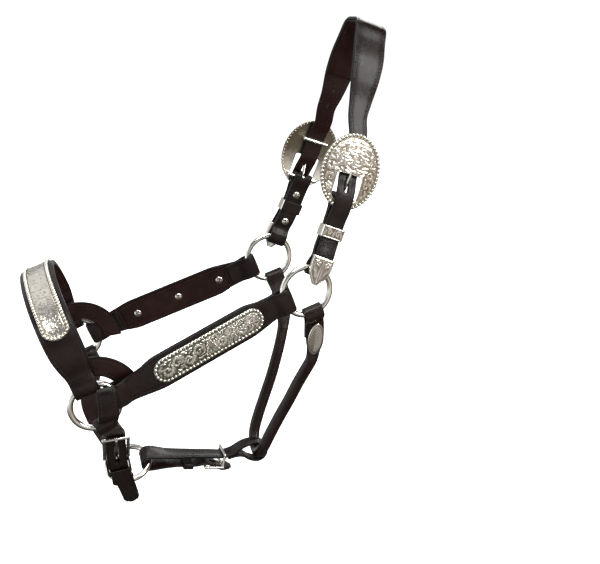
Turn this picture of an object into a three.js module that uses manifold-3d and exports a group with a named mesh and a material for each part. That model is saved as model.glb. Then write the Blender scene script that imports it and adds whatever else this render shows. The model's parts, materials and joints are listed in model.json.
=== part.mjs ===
// A silver-mounted leather show halter for a horse's head, standing open as it is worn.
// Millimetres. +Z is up, the nose points along -X, and -Y is the horse's left side.
// The straps are worked out about the axis through the two cheek rings, and the whole
// group is then moved so that the origin is where the crown rests on the poll.
import * as THREE from "three";
import { mergeVertices } from "three/addons/utils/BufferGeometryUtils.js";
import Module from "manifold-3d";

const wasm = await Module();
wasm.setup();

// ---- Driving dimensions -------------------------------------------------------------
const GAP = 0.4; // air between pieces that lie on each other
const PLY = 2.6; // strap leather
const LINING = 2.0; // lining leather
const CHEEK_RING = { radius: 25.2, wire: 3 }; // radius of the wire's centre line, and of the wire
const NOSE_RING = { radius: 22.5, wire: 3 };
const CHEEK_RING_SPREAD = 65; // each cheek ring's distance from the middle
const NOSE_RING_AT = { x: -216, y: 88, z: -81 };
const CHIN_RING_AT = new THREE.Vector3(-181, 0, -197);
const CROWN_WIDTH = 34;
const BILLET_WIDTH = 20;
const CHEEK_WIDTH = 34;
const CHEEK_END_WIDTH = 24;
const PLATE = { length: 121, width: 25.4, thick: 1.6 };
const BUCKLE = { length: 76, width: 63, thick: 2 };
const SCREW = { head: 4.2, headHeight: 1.6, shank: 2, hole: 2.5 };

const LEATHER = { color: 0x2a1712, roughness: 0.5, metalness: 0 };
const LINING_LEATHER = { color: 0x1d100c, roughness: 0.65, metalness: 0 };
const SILVER = { color: 0xd8d4c8, roughness: 0.3, metalness: 1 };
const NICKEL = { color: 0xc9c4b8, roughness: 0.28, metalness: 1 };

const V = (x, y, z) => new THREE.Vector3(x, y, z);
const X_AXIS = V(1, 0, 0);
const Y_AXIS = V(0, 1, 0);
const Z_AXIS = V(0, 0, 1);
const SIDES = [
  ["left", -1],
  ["right", 1],
];

const halter = new THREE.Group();

function add(name, geometry, finish) {
  const mesh = new THREE.Mesh(geometry, new THREE.MeshStandardMaterial(finish));
  mesh.name = name;
  halter.add(mesh);
  return mesh;
}

// ---- Solids -------------------------------------------------------------------------

function solid(geometry) {
  const bare = (geometry.index ? geometry.toNonIndexed() : geometry).clone();
  bare.deleteAttribute("normal");
  bare.deleteAttribute("uv");
  const merged = mergeVertices(bare, 1e-4);
  return new wasm.Manifold(
    new wasm.Mesh({
      numProp: 3,
      vertProperties: merged.attributes.position.array,
      triVerts: new Uint32Array(merged.index.array),
    }),
  );
}

function geometryOf(made) {
  const mesh = made.getMesh();
  const geometry = new THREE.BufferGeometry();
  geometry.setAttribute("position", new THREE.BufferAttribute(mesh.vertProperties, 3));
  geometry.setIndex(new THREE.BufferAttribute(mesh.triVerts, 1));
  return geometry;
}

const cut = (body, ...tools) =>
  geometryOf(tools.reduce((left, tool) => left.subtract(solid(tool)), solid(body)));

const join = (...parts) => geometryOf(parts.map(solid).reduce((all, part) => all.add(part)));

// Puts a geometry drawn with x along, y across and z outward at a place on a strap.
function placed(geometry, at, along, outward) {
  const across = new THREE.Vector3().crossVectors(outward, along).normalize();
  const out = new THREE.Vector3().crossVectors(along, across).normalize();
  const matrix = new THREE.Matrix4().makeBasis(along.clone().normalize(), across, out);
  return geometry.clone().applyMatrix4(matrix.setPosition(at));
}

// Sweeps a flat section along stations {at, across, width, thick, round, steps}. The section
// is a rectangle, or, where round is given, a rectangle with its corners cut by that much.
function strip(stations, steps = 3) {
  const curve = new THREE.CatmullRomCurve3(
    stations.map((s) => s.at),
    false,
    "centripetal",
  );
  const last = stations.length - 1;
  const eight = stations.some((s) => s.round !== undefined);
  const ring = eight ? 8 : 4;
  const points = [];
  let rows = 0;
  for (let i = 0; i < last; i++) {
    const a = stations[i];
    const b = stations[i + 1];
    const count = a.steps ?? steps;
    for (let k = 0; k <= count; k++) {
      if (k === count && i < last - 1) continue;
      const f = k / count;
      const t = (i + f) / last;
      const mix = (key, fallback) =>
        THREE.MathUtils.lerp(a[key] ?? fallback, b[key] ?? fallback, f);
      const centre = curve.getPoint(t);
      const tangent = curve.getTangent(t);
      const across = a.across.clone().lerp(b.across, f);
      across.addScaledVector(tangent, -across.dot(tangent)).normalize();
      const up = new THREE.Vector3().crossVectors(tangent, across);
      const w = mix("width", 0) / 2;
      const h = mix("thick", PLY) / 2;
      const c = mix("round", 0);
      const corners = eight
        ? [[w, c - h], [w, h - c], [w - c, h], [c - w, h], [-w, h - c], [-w, c - h], [c - w, -h], [w - c, -h]]
        : [[w, -h], [w, h], [-w, h], [-w, -h]];
      for (const [u, v] of corners) {
        const p = centre.clone().addScaledVector(across, u).addScaledVector(up, v);
        points.push(p.x, p.y, p.z);
      }
      rows++;
    }
  }
  const faces = [];
  for (let r = 0; r < rows - 1; r++) {
    for (let k = 0; k < ring; k++) {
      const a = r * ring + k;
      const b = r * ring + ((k + 1) % ring);
      faces.push(a, b, b + ring, a, b + ring, a + ring);
    }
  }
  const end = (rows - 1) * ring;
  for (let k = 1; k < ring - 1; k++) {
    faces.push(0, k + 1, k);
    faces.push(end, end + k, end + k + 1);
  }
  const geometry = new THREE.BufferGeometry();
  geometry.setAttribute("position", new THREE.Float32BufferAttribute(points, 3));
  geometry.setIndex(faces);
  return geometry;
}

// Gives each station its outward direction, away from the point inside, and lifts it by d.
function lifted(stations, inside, d) {
  const curve = new THREE.CatmullRomCurve3(stations.map((s) => s.at), false, "centripetal");
  return stations.map((s, i) => {
    const tangent = curve.getTangent(i / (stations.length - 1));
    const square = new THREE.Vector3().crossVectors(tangent, s.across).normalize();
    if (square.dot(s.at.clone().sub(inside)) < 0) square.negate();
    const out = s.out ?? square;
    const by = typeof d === "number" ? d : d[i];
    return { ...s, out, at: s.at.clone().addScaledVector(out, by) };
  });
}

// The end of a strap folded round a ring's wire, from the tip of the turned-back ply,
// round the wire, to where the outer ply leaves: the strap runs along, away from the centre.
function folded(centre, along, outward, ring, width, back, thick = PLY) {
  const across = new THREE.Vector3().crossVectors(outward, along).normalize();
  const bore = ring.radius - ring.wire;
  const turn = Math.sqrt(bore * bore - (width * width) / 4) - GAP - thick / 2;
  const open = ring.wire + GAP + thick / 2;
  const shut = (thick + GAP) / 2;
  const past = ring.radius + 3.5;
  const closed = past + 8;
  const half = [
    [turn, 0],
    [turn + 1.3, 0.7 * open],
    [turn + 4.5, open],
    [past, open],
    [closed, shut],
  ];
  const section = [
    [back, -shut],
    ...half.slice(1).reverse().map(([e, o]) => [e, -o]),
    ...half,
  ];
  return section.map(([e, o]) => ({
    at: centre.clone().addScaledVector(along, e).addScaledVector(outward, o),
    across,
    width,
    thick,
    steps: 2,
  }));
}

function ringGeometry({ radius, wire }) {
  return new THREE.TorusGeometry(radius, wire, 8, 24);
}

// A Chicago screw: a domed head, and a shank that runs outward through the leather.
function screwGeometry(length) {
  const { head, headHeight, shank } = SCREW;
  const profile = [
    [0, -headHeight],
    [head * 0.62, -headHeight * 0.86],
    [head, -headHeight * 0.3],
    [head, 0],
    [shank, 0],
    [shank, length],
    [0, length],
  ];
  const turned = new THREE.LatheGeometry(
    profile.map(([r, h]) => new THREE.Vector2(r, h)),
    10,
  );
  return turned.rotateX(Math.PI / 2); // the axis from y to z, which is outward
}

const holeGeometry = (depth = 14) =>
  new THREE.CylinderGeometry(SCREW.hole, SCREW.hole, depth, 10).rotateX(Math.PI / 2);

// A plate with a straight-sided outline and round ends.
function barShape(length, width) {
  const r = width / 2;
  const shape = new THREE.Shape();
  shape.absarc(length / 2 - r, 0, r, -Math.PI / 2, Math.PI / 2, false);
  shape.absarc(r - length / 2, 0, r, Math.PI / 2, (3 * Math.PI) / 2, false);
  return shape;
}

const slab = (shape, thick, curveSegments = 8) =>
  new THREE.ExtrudeGeometry(shape, { depth: thick, bevelEnabled: false, curveSegments });

const rod = (from, to, radius, sides = 8) =>
  new THREE.ExtrudeGeometry(
    new THREE.Shape(
      Array.from({ length: sides }, (_, i) => {
        const a = (2 * Math.PI * i) / sides;
        return new THREE.Vector2(radius * Math.cos(a), radius * Math.sin(a));
      }),
    ),
    { steps: 1, extrudePath: new THREE.LineCurve3(from, to), bevelEnabled: false },
  );

// ---- Cheek pieces -------------------------------------------------------------------

const CHEEK_RUN = Math.hypot(NOSE_RING_AT.x, NOSE_RING_AT.z);
const CHEEK_ALONG = V(NOSE_RING_AT.x, 0, NOSE_RING_AT.z).normalize();
const CHEEK_FLAT = 38; // next to each ring the strap runs square to it
const CHEEK_SCREWS = [62, 111, 160]; // from the cheek ring

// The middle surface of a cheek piece, at a distance from the cheek ring's centre.
function cheekAt(side, d) {
  const share = THREE.MathUtils.clamp(
    (d - CHEEK_FLAT) / (CHEEK_RUN - 2 * CHEEK_FLAT),
    0,
    1,
  );
  const spread = THREE.MathUtils.lerp(CHEEK_RING_SPREAD, NOSE_RING_AT.y, share);
  return CHEEK_ALONG.clone().multiplyScalar(d).setY(side * spread);
}

function cheekPiece(name, side) {
  const outward = V(0, side, 0);
  const upper = V(0, side * CHEEK_RING_SPREAD, 0);
  const lower = V(NOSE_RING_AT.x, side * NOSE_RING_AT.y, NOSE_RING_AT.z);
  const back = CHEEK_ALONG.clone().negate();
  const across = new THREE.Vector3().crossVectors(outward, CHEEK_ALONG).normalize();
  const slope = cheekAt(side, 150).sub(cheekAt(side, 80)).normalize();
  const out = new THREE.Vector3().crossVectors(slope, across).normalize();
  if (out.y * side < 0) out.negate();

  const middle = (distances, offset, widths, thick) =>
    distances.map((d, i) => ({
      at: cheekAt(side, d).addScaledVector(out, offset),
      across,
      width: widths[i],
      thick,
      steps: 1,
    }));
  const body = middle(
    [CHEEK_RUN - 53, CHEEK_RUN - 66, 112, 66, 53],
    (PLY + GAP) / 2,
    [30, CHEEK_WIDTH, CHEEK_WIDTH, CHEEK_WIDTH, 30],
    PLY,
  );
  const flip = across.clone().negate();
  const low = folded(lower, back, outward, NOSE_RING, CHEEK_END_WIDTH, 50);
  const high = folded(upper, CHEEK_ALONG, outward, CHEEK_RING, CHEEK_END_WIDTH + 1, 50);
  low.forEach((s) => (s.across = flip));
  const strap = strip([...low, ...body.map((s) => ({ ...s, across: flip })),
    ...high.reverse().map((s) => ({ ...s, across: flip }))]);
  const lining = strip(
    middle([CHEEK_RUN - 54, CHEEK_RUN - 66, 66, 54], -(LINING + GAP) / 2,
      [29, CHEEK_WIDTH, CHEEK_WIDTH, 29], LINING),
  );
  const holes = CHEEK_SCREWS.map((d) => placed(holeGeometry(), cheekAt(side, d), slope, out));
  add(`${name}_cheek_strap`, cut(strap, ...holes), LEATHER);
  add(`${name}_cheek_lining`, cut(lining, ...holes), LINING_LEATHER);

  const face = PLY + GAP / 2;
  const plate = slab(barShape(PLATE.length, PLATE.width), PLATE.thick);
  const seat = cheekAt(side, CHEEK_SCREWS[1]).addScaledVector(out, face + GAP);
  add(`${name}_cheek_plate`, placed(plate, seat, slope, out), SILVER);
  const inner = LINING + GAP / 2 + GAP;
  CHEEK_SCREWS.forEach((d, i) => {
    const at = cheekAt(side, d).addScaledVector(out, -inner);
    const screw = screwGeometry(inner + face);
    add(`${name}_cheek_screw_${i + 1}`, placed(screw, at, slope, out), NICKEL);
  });

  const cheekRing = add(`${name}_cheek_ring`, ringGeometry(CHEEK_RING), NICKEL);
  cheekRing.position.copy(upper);
  cheekRing.rotation.x = Math.PI / 2;
  const noseRing = add(`${name}_nose_ring`, ringGeometry(NOSE_RING), NICKEL);
  noseRing.position.copy(lower);
  noseRing.rotation.x = Math.PI / 2;
  ringSafe(name, side, lower);
}

// The leather safe behind a nose ring: part of a flat washer, which fills the corner
// between the noseband and the cheek piece.
const SAFE = { radius: 46, bore: 26.5, thick: 2.4, start: 4, end: 128 };

function ringSafe(name, side, centre) {
  const shape = new THREE.Shape();
  const start = THREE.MathUtils.degToRad(SAFE.start);
  const end = THREE.MathUtils.degToRad(SAFE.end);
  shape.absarc(0, 0, SAFE.radius, start, end, false);
  shape.absarc(0, 0, SAFE.bore, end, start, true);
  const inward = NOSE_RING.wire + GAP + PLY + GAP;
  const safe = placed(
    slab(shape, SAFE.thick, 14),
    V(0, 0, 0),
    X_AXIS,
    V(0, -1, 0),
  );
  const near = side < 0 ? inward + SAFE.thick : -inward;
  safe.translate(centre.x, centre.y + near, centre.z);
  add(`${name}_ring_safe`, safe, LEATHER);
}

// ---- Headstall: crown, buckles and hangers ------------------------------------------

// The line of one side of the headstall, from the cheek ring up: [height, back, spread].
const SIDE_LINE = [
  [0, 0, CHEEK_RING_SPREAD],
  [30, 13.5, 63],
  [58, 26, 61],
  [80, 34.5, 58.5],
  [100, 41.5, 56],
  [123, 49, 52.5],
  [160, 58.5, 43],
  [184, 66, 38],
  [203, 71.5, 35.5],
  [222, 77, 30.5],
  [240, 82, 22],
  [252, 85.5, 12],
];
const POLL = V(87, 0, 256.5);

function lineAt(side, height) {
  const i = Math.max(1, SIDE_LINE.findIndex(([z]) => z >= height));
  const [z0, x0, y0] = SIDE_LINE[i - 1];
  const [z1, x1, y1] = SIDE_LINE[i];
  const f = (height - z0) / (z1 - z0);
  const { lerp } = THREE.MathUtils;
  return V(lerp(x0, x1, f), side * lerp(y0, y1, f), height);
}

const CROWN_ACROSS = V(POLL.z, 0, -POLL.x).normalize();

// Where a piece sits on one side of the headstall: its place, the way up and the way out.
function sideFrame(side, height, lift) {
  const low = lineAt(side, height - 6);
  const high = lineAt(side, height + 6);
  const along = high.sub(low).normalize();
  const out = new THREE.Vector3().crossVectors(along, CROWN_ACROSS).normalize();
  if (out.y * side < 0) out.negate();
  return { at: lineAt(side, height).addScaledVector(out, lift), along, out };
}

// [height, lift, width] of the crown strap, the lift being from the buckle's own plane
// between these two heights and from the line of the headstall elsewhere: the billet lies over the buckle's lower rim,
// passes in through the buckle's opening and climbs behind its upper half.
const CROWN_LINE = [
  [17, 11.6, 15],
  [24, 11.6, BILLET_WIDTH],
  [36, 10.4, BILLET_WIDTH],
  [47, 7.8, BILLET_WIDTH],
  [58, 6, BILLET_WIDTH],
  [70, 6.8, BILLET_WIDTH],
  [80, 9.3, BILLET_WIDTH],
  [92, 9.4, BILLET_WIDTH],
  [101, 7.8, BILLET_WIDTH],
  [112, 3.6, BILLET_WIDTH],
  [122, 3.4, BILLET_WIDTH],
  [134, 3.4, BILLET_WIDTH],
  [145, 2.6, BILLET_WIDTH],
  [156, -0.6, BILLET_WIDTH],
  [168, 2.2, BILLET_WIDTH + 0.5],
  [184, 0.8, 25],
  [203, 0, 31],
  [222, 0, CROWN_WIDTH],
  [240, 0, CROWN_WIDTH],
];
const POLL_FLAT = [5, 8]; // the strap is flat over the poll between these and their mirror images
const LEVEL = [80, 160];

function crownAt(side, height, lift) {
  if (height < LEVEL[0] || height > LEVEL[1]) return sideFrame(side, height, lift).at;
  const bar = sideFrame(side, HANGER.bar, lift);
  return bar.at.addScaledVector(bar.along, height - HANGER.bar);
}

const bare = ({ out, ...station }) => station;

function crownStations() {
  const leg = (side) =>
    CROWN_LINE.map(([height, lift, width]) => ({
      at: crownAt(side, height, lift),
      across: CROWN_ACROSS,
      width,
      thick: PLY,
      steps: height < 200 ? 2 : 3,
    }));
  const top = (y, drop) => ({
    at: V(POLL.x, y, POLL.z).addScaledVector(V(POLL.x, 0, POLL.z).normalize(), -drop),
    across: CROWN_ACROSS,
    width: CROWN_WIDTH,
    thick: PLY,
    out: V(POLL.x, 0, POLL.z).normalize(),
    steps: drop ? 3 : 1,
  });
  const [flat, bend] = POLL_FLAT;
  const left = [...leg(-1), bare(top(-15.5, 3.6)), bare(top(-bend, 0)), top(-flat, 0)];
  return [...left, top(flat, 0), bare(top(bend, 0)), bare(top(15.5, 3.6)), ...leg(1).reverse()];
}

const LINING_FROM = 200;
const HANGER = { ring: 0, bar: 91, joint: 57, screws: [42, 72] };
const BAR = 2; // radius of the buckle's bars
const PLATE_LIFT = BAR + GAP + PLY + GAP + BUCKLE.thick / 2; // plate's middle, out from the hanger
const OPENING = { top: -3, bottom: -31, width: 28 };
const BUCKLE_AT = 118;
const UPPER_BAR_AT = 16;

function buckleGeometry() {
  const outline = new THREE.Shape();
  outline.absellipse(0, 0, BUCKLE.length / 2, BUCKLE.width / 2, 0, 2 * Math.PI, false);
  const hole = new THREE.Path();
  const half = OPENING.width / 2;
  hole.moveTo(OPENING.top, -half);
  hole.lineTo(OPENING.top, half);
  hole.lineTo(OPENING.bottom + 8, half);
  hole.quadraticCurveTo(OPENING.bottom, half, OPENING.bottom, 0);
  hole.quadraticCurveTo(OPENING.bottom, -half, OPENING.bottom + 8, -half);
  outline.holes.push(hole);
  const plate = slab(outline, BUCKLE.thick, 16).translate(0, 0, -BUCKLE.thick / 2);
  const barBack = (along, depth, reach) => {
    const legs = [-1, 1].map((s) =>
      new THREE.BoxGeometry(3, 3, depth + BAR).translate(along, s * reach, (BAR - depth) / 2 - BAR),
    );
    return [...legs, rod(V(along, -reach, -depth), V(along, reach, -depth), BAR)];
  };
  const heel = HANGER.bar - BUCKLE_AT;
  return join(
    plate,
    ...barBack(heel, PLATE_LIFT, half + 1.6),
    ...barBack(UPPER_BAR_AT, BUCKLE.thick / 2 + GAP + PLY + GAP + BAR + 0.6, 13),
  );
}

// The tongue turns on the heel bar, comes out through the billet and rests on the plate.
const TONGUE = { eye: 3.7, width: 3.4, tip: 27.5, rise: 10.6, radius: 1.3 };

function tongueGeometry({ eye, width, tip, rise, radius }, bar) {
  const ring = new THREE.Shape();
  ring.absarc(0, 0, eye, 0, 2 * Math.PI, false);
  const bore = new THREE.Path();
  bore.absarc(0, 0, bar + 0.35, 0, 2 * Math.PI, true);
  ring.holes.push(bore);
  const hub = slab(ring, width, 6).translate(0, 0, -width / 2).rotateX(Math.PI / 2);
  const start = V(tip, 0, rise).normalize().multiplyScalar(eye - 0.6);
  return join(hub, rod(start, V(tip, 0, rise), radius, 6));
}

function hangerStations(side) {
  const ringCentre = V(0, side * CHEEK_RING_SPREAD, 0);
  const outward = V(0, side, 0);
  const firstLeg = lineAt(side, 30).setY(0).normalize();
  const across = new THREE.Vector3().crossVectors(outward, firstLeg).normalize();
  const width = BILLET_WIDTH;
  const fold = folded(ringCentre, firstLeg, outward, CHEEK_RING, width, HANGER.joint)
    .map((s) => ({ ...s, across }));
  fold.shift(); // the inner ply is drawn up to the joint along the headstall's own line
  const shut = (PLY + GAP) / 2;
  const open = BAR + GAP + PLY / 2;
  const ply = (height, lift) => ({
    at: sideFrame(side, height, lift).at,
    across: side < 0 ? CROWN_ACROSS : CROWN_ACROSS.clone().negate(),
    width,
    thick: PLY,
    steps: 2,
  });
  const sign = across.dot(ply(50, 0).across) < 0 ? -1 : 1;
  const bend = open + HANGER.bar;
  return [
    ply(HANGER.joint + 1, -shut),
    ply(70, -shut),
    ply(80, -shut - 0.3),
    ply(HANGER.bar - 2, -open),
    ply(bend - 1, -0.7 * open),
    ply(bend, 0),
    ply(bend - 1, 0.7 * open),
    ply(HANGER.bar - 2, open),
    ply(80, shut + 0.3),
    ply(70, shut),
    ply(56, shut),
    ply(44, shut),
    ...fold.reverse().map((s) => ({ ...s, across: s.across.clone().multiplyScalar(sign) })),
    ply(44, -shut),
    ply(HANGER.joint - 1, -shut),
  ];
}

function headstallSide(name, side, crown) {
  const bar = sideFrame(side, HANGER.bar, 0);
  const slot = new THREE.BoxGeometry(16, TONGUE.width + 1.6, 15).translate(2, 0, 2.6);
  const holes = HANGER.screws.map((height) => {
    const f = sideFrame(side, height, 0);
    return placed(holeGeometry(), f.at, f.along, f.out);
  });
  const hanger = cut(strip(hangerStations(side)), placed(slot, bar.at, bar.along, bar.out), ...holes);
  add(`${name}_hanger`, hanger, LEATHER);

  const inner = PLY + GAP / 2 + GAP;
  HANGER.screws.forEach((height, i) => {
    const f = sideFrame(side, height, -inner);
    const screw = placed(screwGeometry(2 * inner - GAP), f.at, f.along, f.out);
    add(`${name}_hanger_screw_${i + 1}`, screw, NICKEL);
  });

  const heelToPlate = bar.out.clone().multiplyScalar(PLATE_LIFT);
  const centre = bar.at.clone().add(heelToPlate)
    .addScaledVector(bar.along, BUCKLE_AT - HANGER.bar);
  add(`${name}_buckle_plate`, placed(buckleGeometry(), centre, bar.along, bar.out), SILVER);
  const tongue = placed(tongueGeometry(TONGUE, BAR), bar.at, bar.along, bar.out);
  add(`${name}_buckle_tongue`, tongue, NICKEL);

  const keeper = { at: 58, tall: 12, wall: 1.2 };
  const low = -(PLY + GAP / 2) - GAP;
  const high = 6 + PLY / 2 + 1.8;
  const depth = high - low;
  const loop = (grow, tall) =>
    new THREE.BoxGeometry(tall, BILLET_WIDTH + 2 * GAP + 2 * grow, depth + 2 * grow);
  const f = sideFrame(side, keeper.at, (high + low) / 2);
  const band = cut(loop(keeper.wall, keeper.tall), loop(0, keeper.tall + 4));
  add(`${name}_billet_keeper`, placed(band, f.at, f.along, f.out), SILVER);

  const tipLine = [[9, 11.6, 5], [19, 11.6, 21], [27, 11.3, 22.6], [35, 10.5, 22.6]];
  const tip = strip(
    tipLine.map(([height, lift, width]) => ({
      at: sideFrame(side, height, lift).at,
      across: CROWN_ACROSS,
      width,
      thick: 5,
      steps: 2,
    })),
  );
  const sleeve = strip(
    CROWN_LINE.slice(0, 5).map(([height, lift, width]) => ({
      at: sideFrame(side, height, lift).at,
      across: CROWN_ACROSS,
      width: width + 0.8,
      thick: PLY + 0.9,
      steps: 4,
    })),
  );
  add(`${name}_billet_tip`, cut(tip, sleeve), SILVER);

  const punch = new THREE.BoxGeometry(22, 4.8, 12).translate(16, 0, 7);
  return [...crown, placed(punch, bar.at, bar.along, bar.out)];
}

function headstall() {
  let punches = [];
  for (const [name, side] of SIDES) punches = headstallSide(name, side, punches);
  const route = crownStations();
  add("crown_strap", cut(strip(route), ...punches), LEATHER);
  const drop = -(PLY / 2 + GAP + LINING / 2);
  const upper = lifted(route, V(60, 0, 190), drop).filter((s) => s.at.z > LINING_FROM);
  const lining = upper.map((s) => ({ ...s, thick: LINING, width: s.width - 1 }));
  add("crown_lining", strip(lining), LINING_LEATHER);
}

// ---- Noseband -----------------------------------------------------------------------

const NOSE_ALONG = V(-0.342, 0, 0.94).normalize(); // from the nose rings up over the nose
// [distance from the nose ring, spread, width]
const NOSE_LINE = [
  [46, 89.5, 29],
  [58, 89.5, 33],
  [72, 86, CHEEK_WIDTH],
  [86, 77, CHEEK_WIDTH],
  [98, 61, CHEEK_WIDTH],
  [106, 40, CHEEK_WIDTH],
  [110, 18, CHEEK_WIDTH],
];
const NOSE_TOP = 111;

function nosebandStations() {
  const base = V(NOSE_RING_AT.x, 0, NOSE_RING_AT.z);
  const across = new THREE.Vector3().crossVectors(NOSE_ALONG, Y_AXIS).normalize();
  const station = (side, [d, spread, width]) => ({
    at: base.clone().addScaledVector(NOSE_ALONG, d).setY(side * spread),
    across,
    width,
    thick: PLY,
    steps: 2,
  });
  return [
    ...NOSE_LINE.map((line) => station(-1, line)),
    station(1, [NOSE_TOP, 0, CHEEK_WIDTH]),
    ...NOSE_LINE.map((line) => station(1, line)).reverse(),
  ];
}

function noseband() {
  const base = V(NOSE_RING_AT.x, 0, NOSE_RING_AT.z);
  const inside = base.clone().addScaledVector(NOSE_ALONG, 40);
  const route = nosebandStations();
  const across = route[0].across;
  const end = (side) =>
    folded(V(NOSE_RING_AT.x, side * NOSE_RING_AT.y, NOSE_RING_AT.z), NOSE_ALONG,
      V(0, side, 0), NOSE_RING, 24, 44).map((s) => ({ ...s, across }));
  const outer = lifted(route, inside, (PLY + GAP) / 2);
  const strap = strip([...end(-1), ...outer, ...end(1).reverse()]);
  const core = route.slice(1, -1);
  const lining = strip(
    lifted(core, inside, -(LINING + GAP) / 2).map((s) => ({ ...s, thick: LINING, width: s.width - 1 })),
  );
  const seats = [3, 7, 11].map((i) => lifted(route, inside, 0)[i]);
  const curve = new THREE.CatmullRomCurve3(route.map((s) => s.at), false, "centripetal");
  const frames = [3, 7, 11].map((i, k) => ({
    at: seats[k].at,
    out: seats[k].out,
    along: curve.getTangent(i / (route.length - 1)),
  }));
  const holes = frames.map((f) => placed(holeGeometry(), f.at, f.along, f.out));
  add("noseband_strap", cut(strap, ...holes), LEATHER);
  add("noseband_lining", cut(lining, ...holes), LINING_LEATHER);
  const face = PLY + GAP / 2;
  const plateRoute = lifted(route.slice(2, -2), inside, face + GAP + PLATE.thick / 2);
  const tapered = plateRoute.map((s, i) => {
    const fromEnd = Math.min(i, plateRoute.length - 1 - i);
    return { ...s, thick: PLATE.thick, width: PLATE.width * (fromEnd === 0 ? 0.5 : 1) };
  });
  add("noseband_plate", strip(tapered), SILVER);
  const inner = LINING + GAP / 2 + GAP + 0.3;
  frames.forEach((f, i) => {
    const at = f.at.clone().addScaledVector(f.out, -inner);
    const screw = placed(screwGeometry(inner + face - 0.4), at, f.along, f.out);
    add(`noseband_screw_${i + 1}`, screw, NICKEL);
  });
}


// ---- Chin and jaw straps ------------------------------------------------------------

// The chin ring hangs with its near side low.
const CHIN_RING = { radius: 22.5, wire: 3 };
const CHIN_RIGHT = V(0.9446, -0.3283, 0); // two directions in the ring's plane
const CHIN_BACK = V(0.305, 0.8775, 0.3727);
const CHIN_WIDTH = 19;

function chinRingPoint(degrees) {
  const a = THREE.MathUtils.degToRad(degrees);
  const radial = CHIN_RIGHT.clone().multiplyScalar(Math.cos(a)).addScaledVector(CHIN_BACK, Math.sin(a));
  const tangent = CHIN_BACK.clone().multiplyScalar(Math.cos(a)).addScaledVector(CHIN_RIGHT, -Math.sin(a));
  return { radial, tangent, at: CHIN_RING_AT.clone().addScaledVector(radial, CHIN_RING.radius) };
}

function noseRingPoint(side) {
  const radial = V(0.392, 0, -0.92);
  const at = V(NOSE_RING_AT.x, side * NOSE_RING_AT.y, NOSE_RING_AT.z);
  return { radial, tangent: V(0.92, 0, 0.392), at: at.addScaledVector(radial, NOSE_RING.radius) };
}

// A strap wrapped round a wire at a point: stations from the inner ply, round the wire, to
// the outer ply. The wire curves away under the strap, so the loop has that much slack.
function hitch(point, towards, outside, width, reach, { wire, slack }) {
  const across = point.tangent.clone().normalize();
  const along = towards.clone().sub(point.at);
  along.addScaledVector(across, -along.dot(across)).normalize();
  const out = new THREE.Vector3().crossVectors(along, across).normalize();
  if (out.dot(outside) < 0) out.negate();
  const open = wire + GAP + slack + PLY / 2;
  const shut = (PLY + GAP) / 2;
  const half = [
    [-open, 0],
    [-0.72 * open, 0.72 * open],
    [0, open],
    [3, open],
    [open + 8, shut],
  ];
  const section = [
    ...(reach ? [[reach, -shut]] : []),
    ...half.slice(1).reverse().map(([e, o]) => [e, -o]),
    ...half,
  ];
  const centre = point.at.clone().addScaledVector(point.radial, -slack);
  const stations = section.map(([e, o]) => ({
    at: centre.clone().addScaledVector(along, e).addScaledVector(out, o),
    across,
    width,
    thick: PLY,
    steps: 2,
  }));
  return { stations, along, out, across, centre };
}

// Makes the across directions of a run of stations agree, so that the strap doesn't flip.
function agreed(stations) {
  for (let i = 1; i < stations.length; i++) {
    const { across } = stations[i - 1];
    if (stations[i].across.dot(across) < 0) {
      stations[i] = { ...stations[i], across: stations[i].across.clone().negate() };
    }
  }
  return stations;
}

// A frame drawn with x along, y across and z outward at a place on a strap.
function frameAt(at, along, outside) {
  const x = along.clone().normalize();
  const out = outside.clone().addScaledVector(x, -outside.dot(x)).normalize();
  const across = new THREE.Vector3().crossVectors(out, x).normalize();
  const point = (e, o, side = 0) =>
    at.clone().addScaledVector(x, e).addScaledVector(out, o).addScaledVector(across, side);
  return { at, along: x, out, across, point };
}

const CHIN_TOP_BAR = V(-198, -71, -128);
const CHIN_HEEL_BAR = V(-197.5, -54, -157);
const FRAME_BAR = 1.6;

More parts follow.
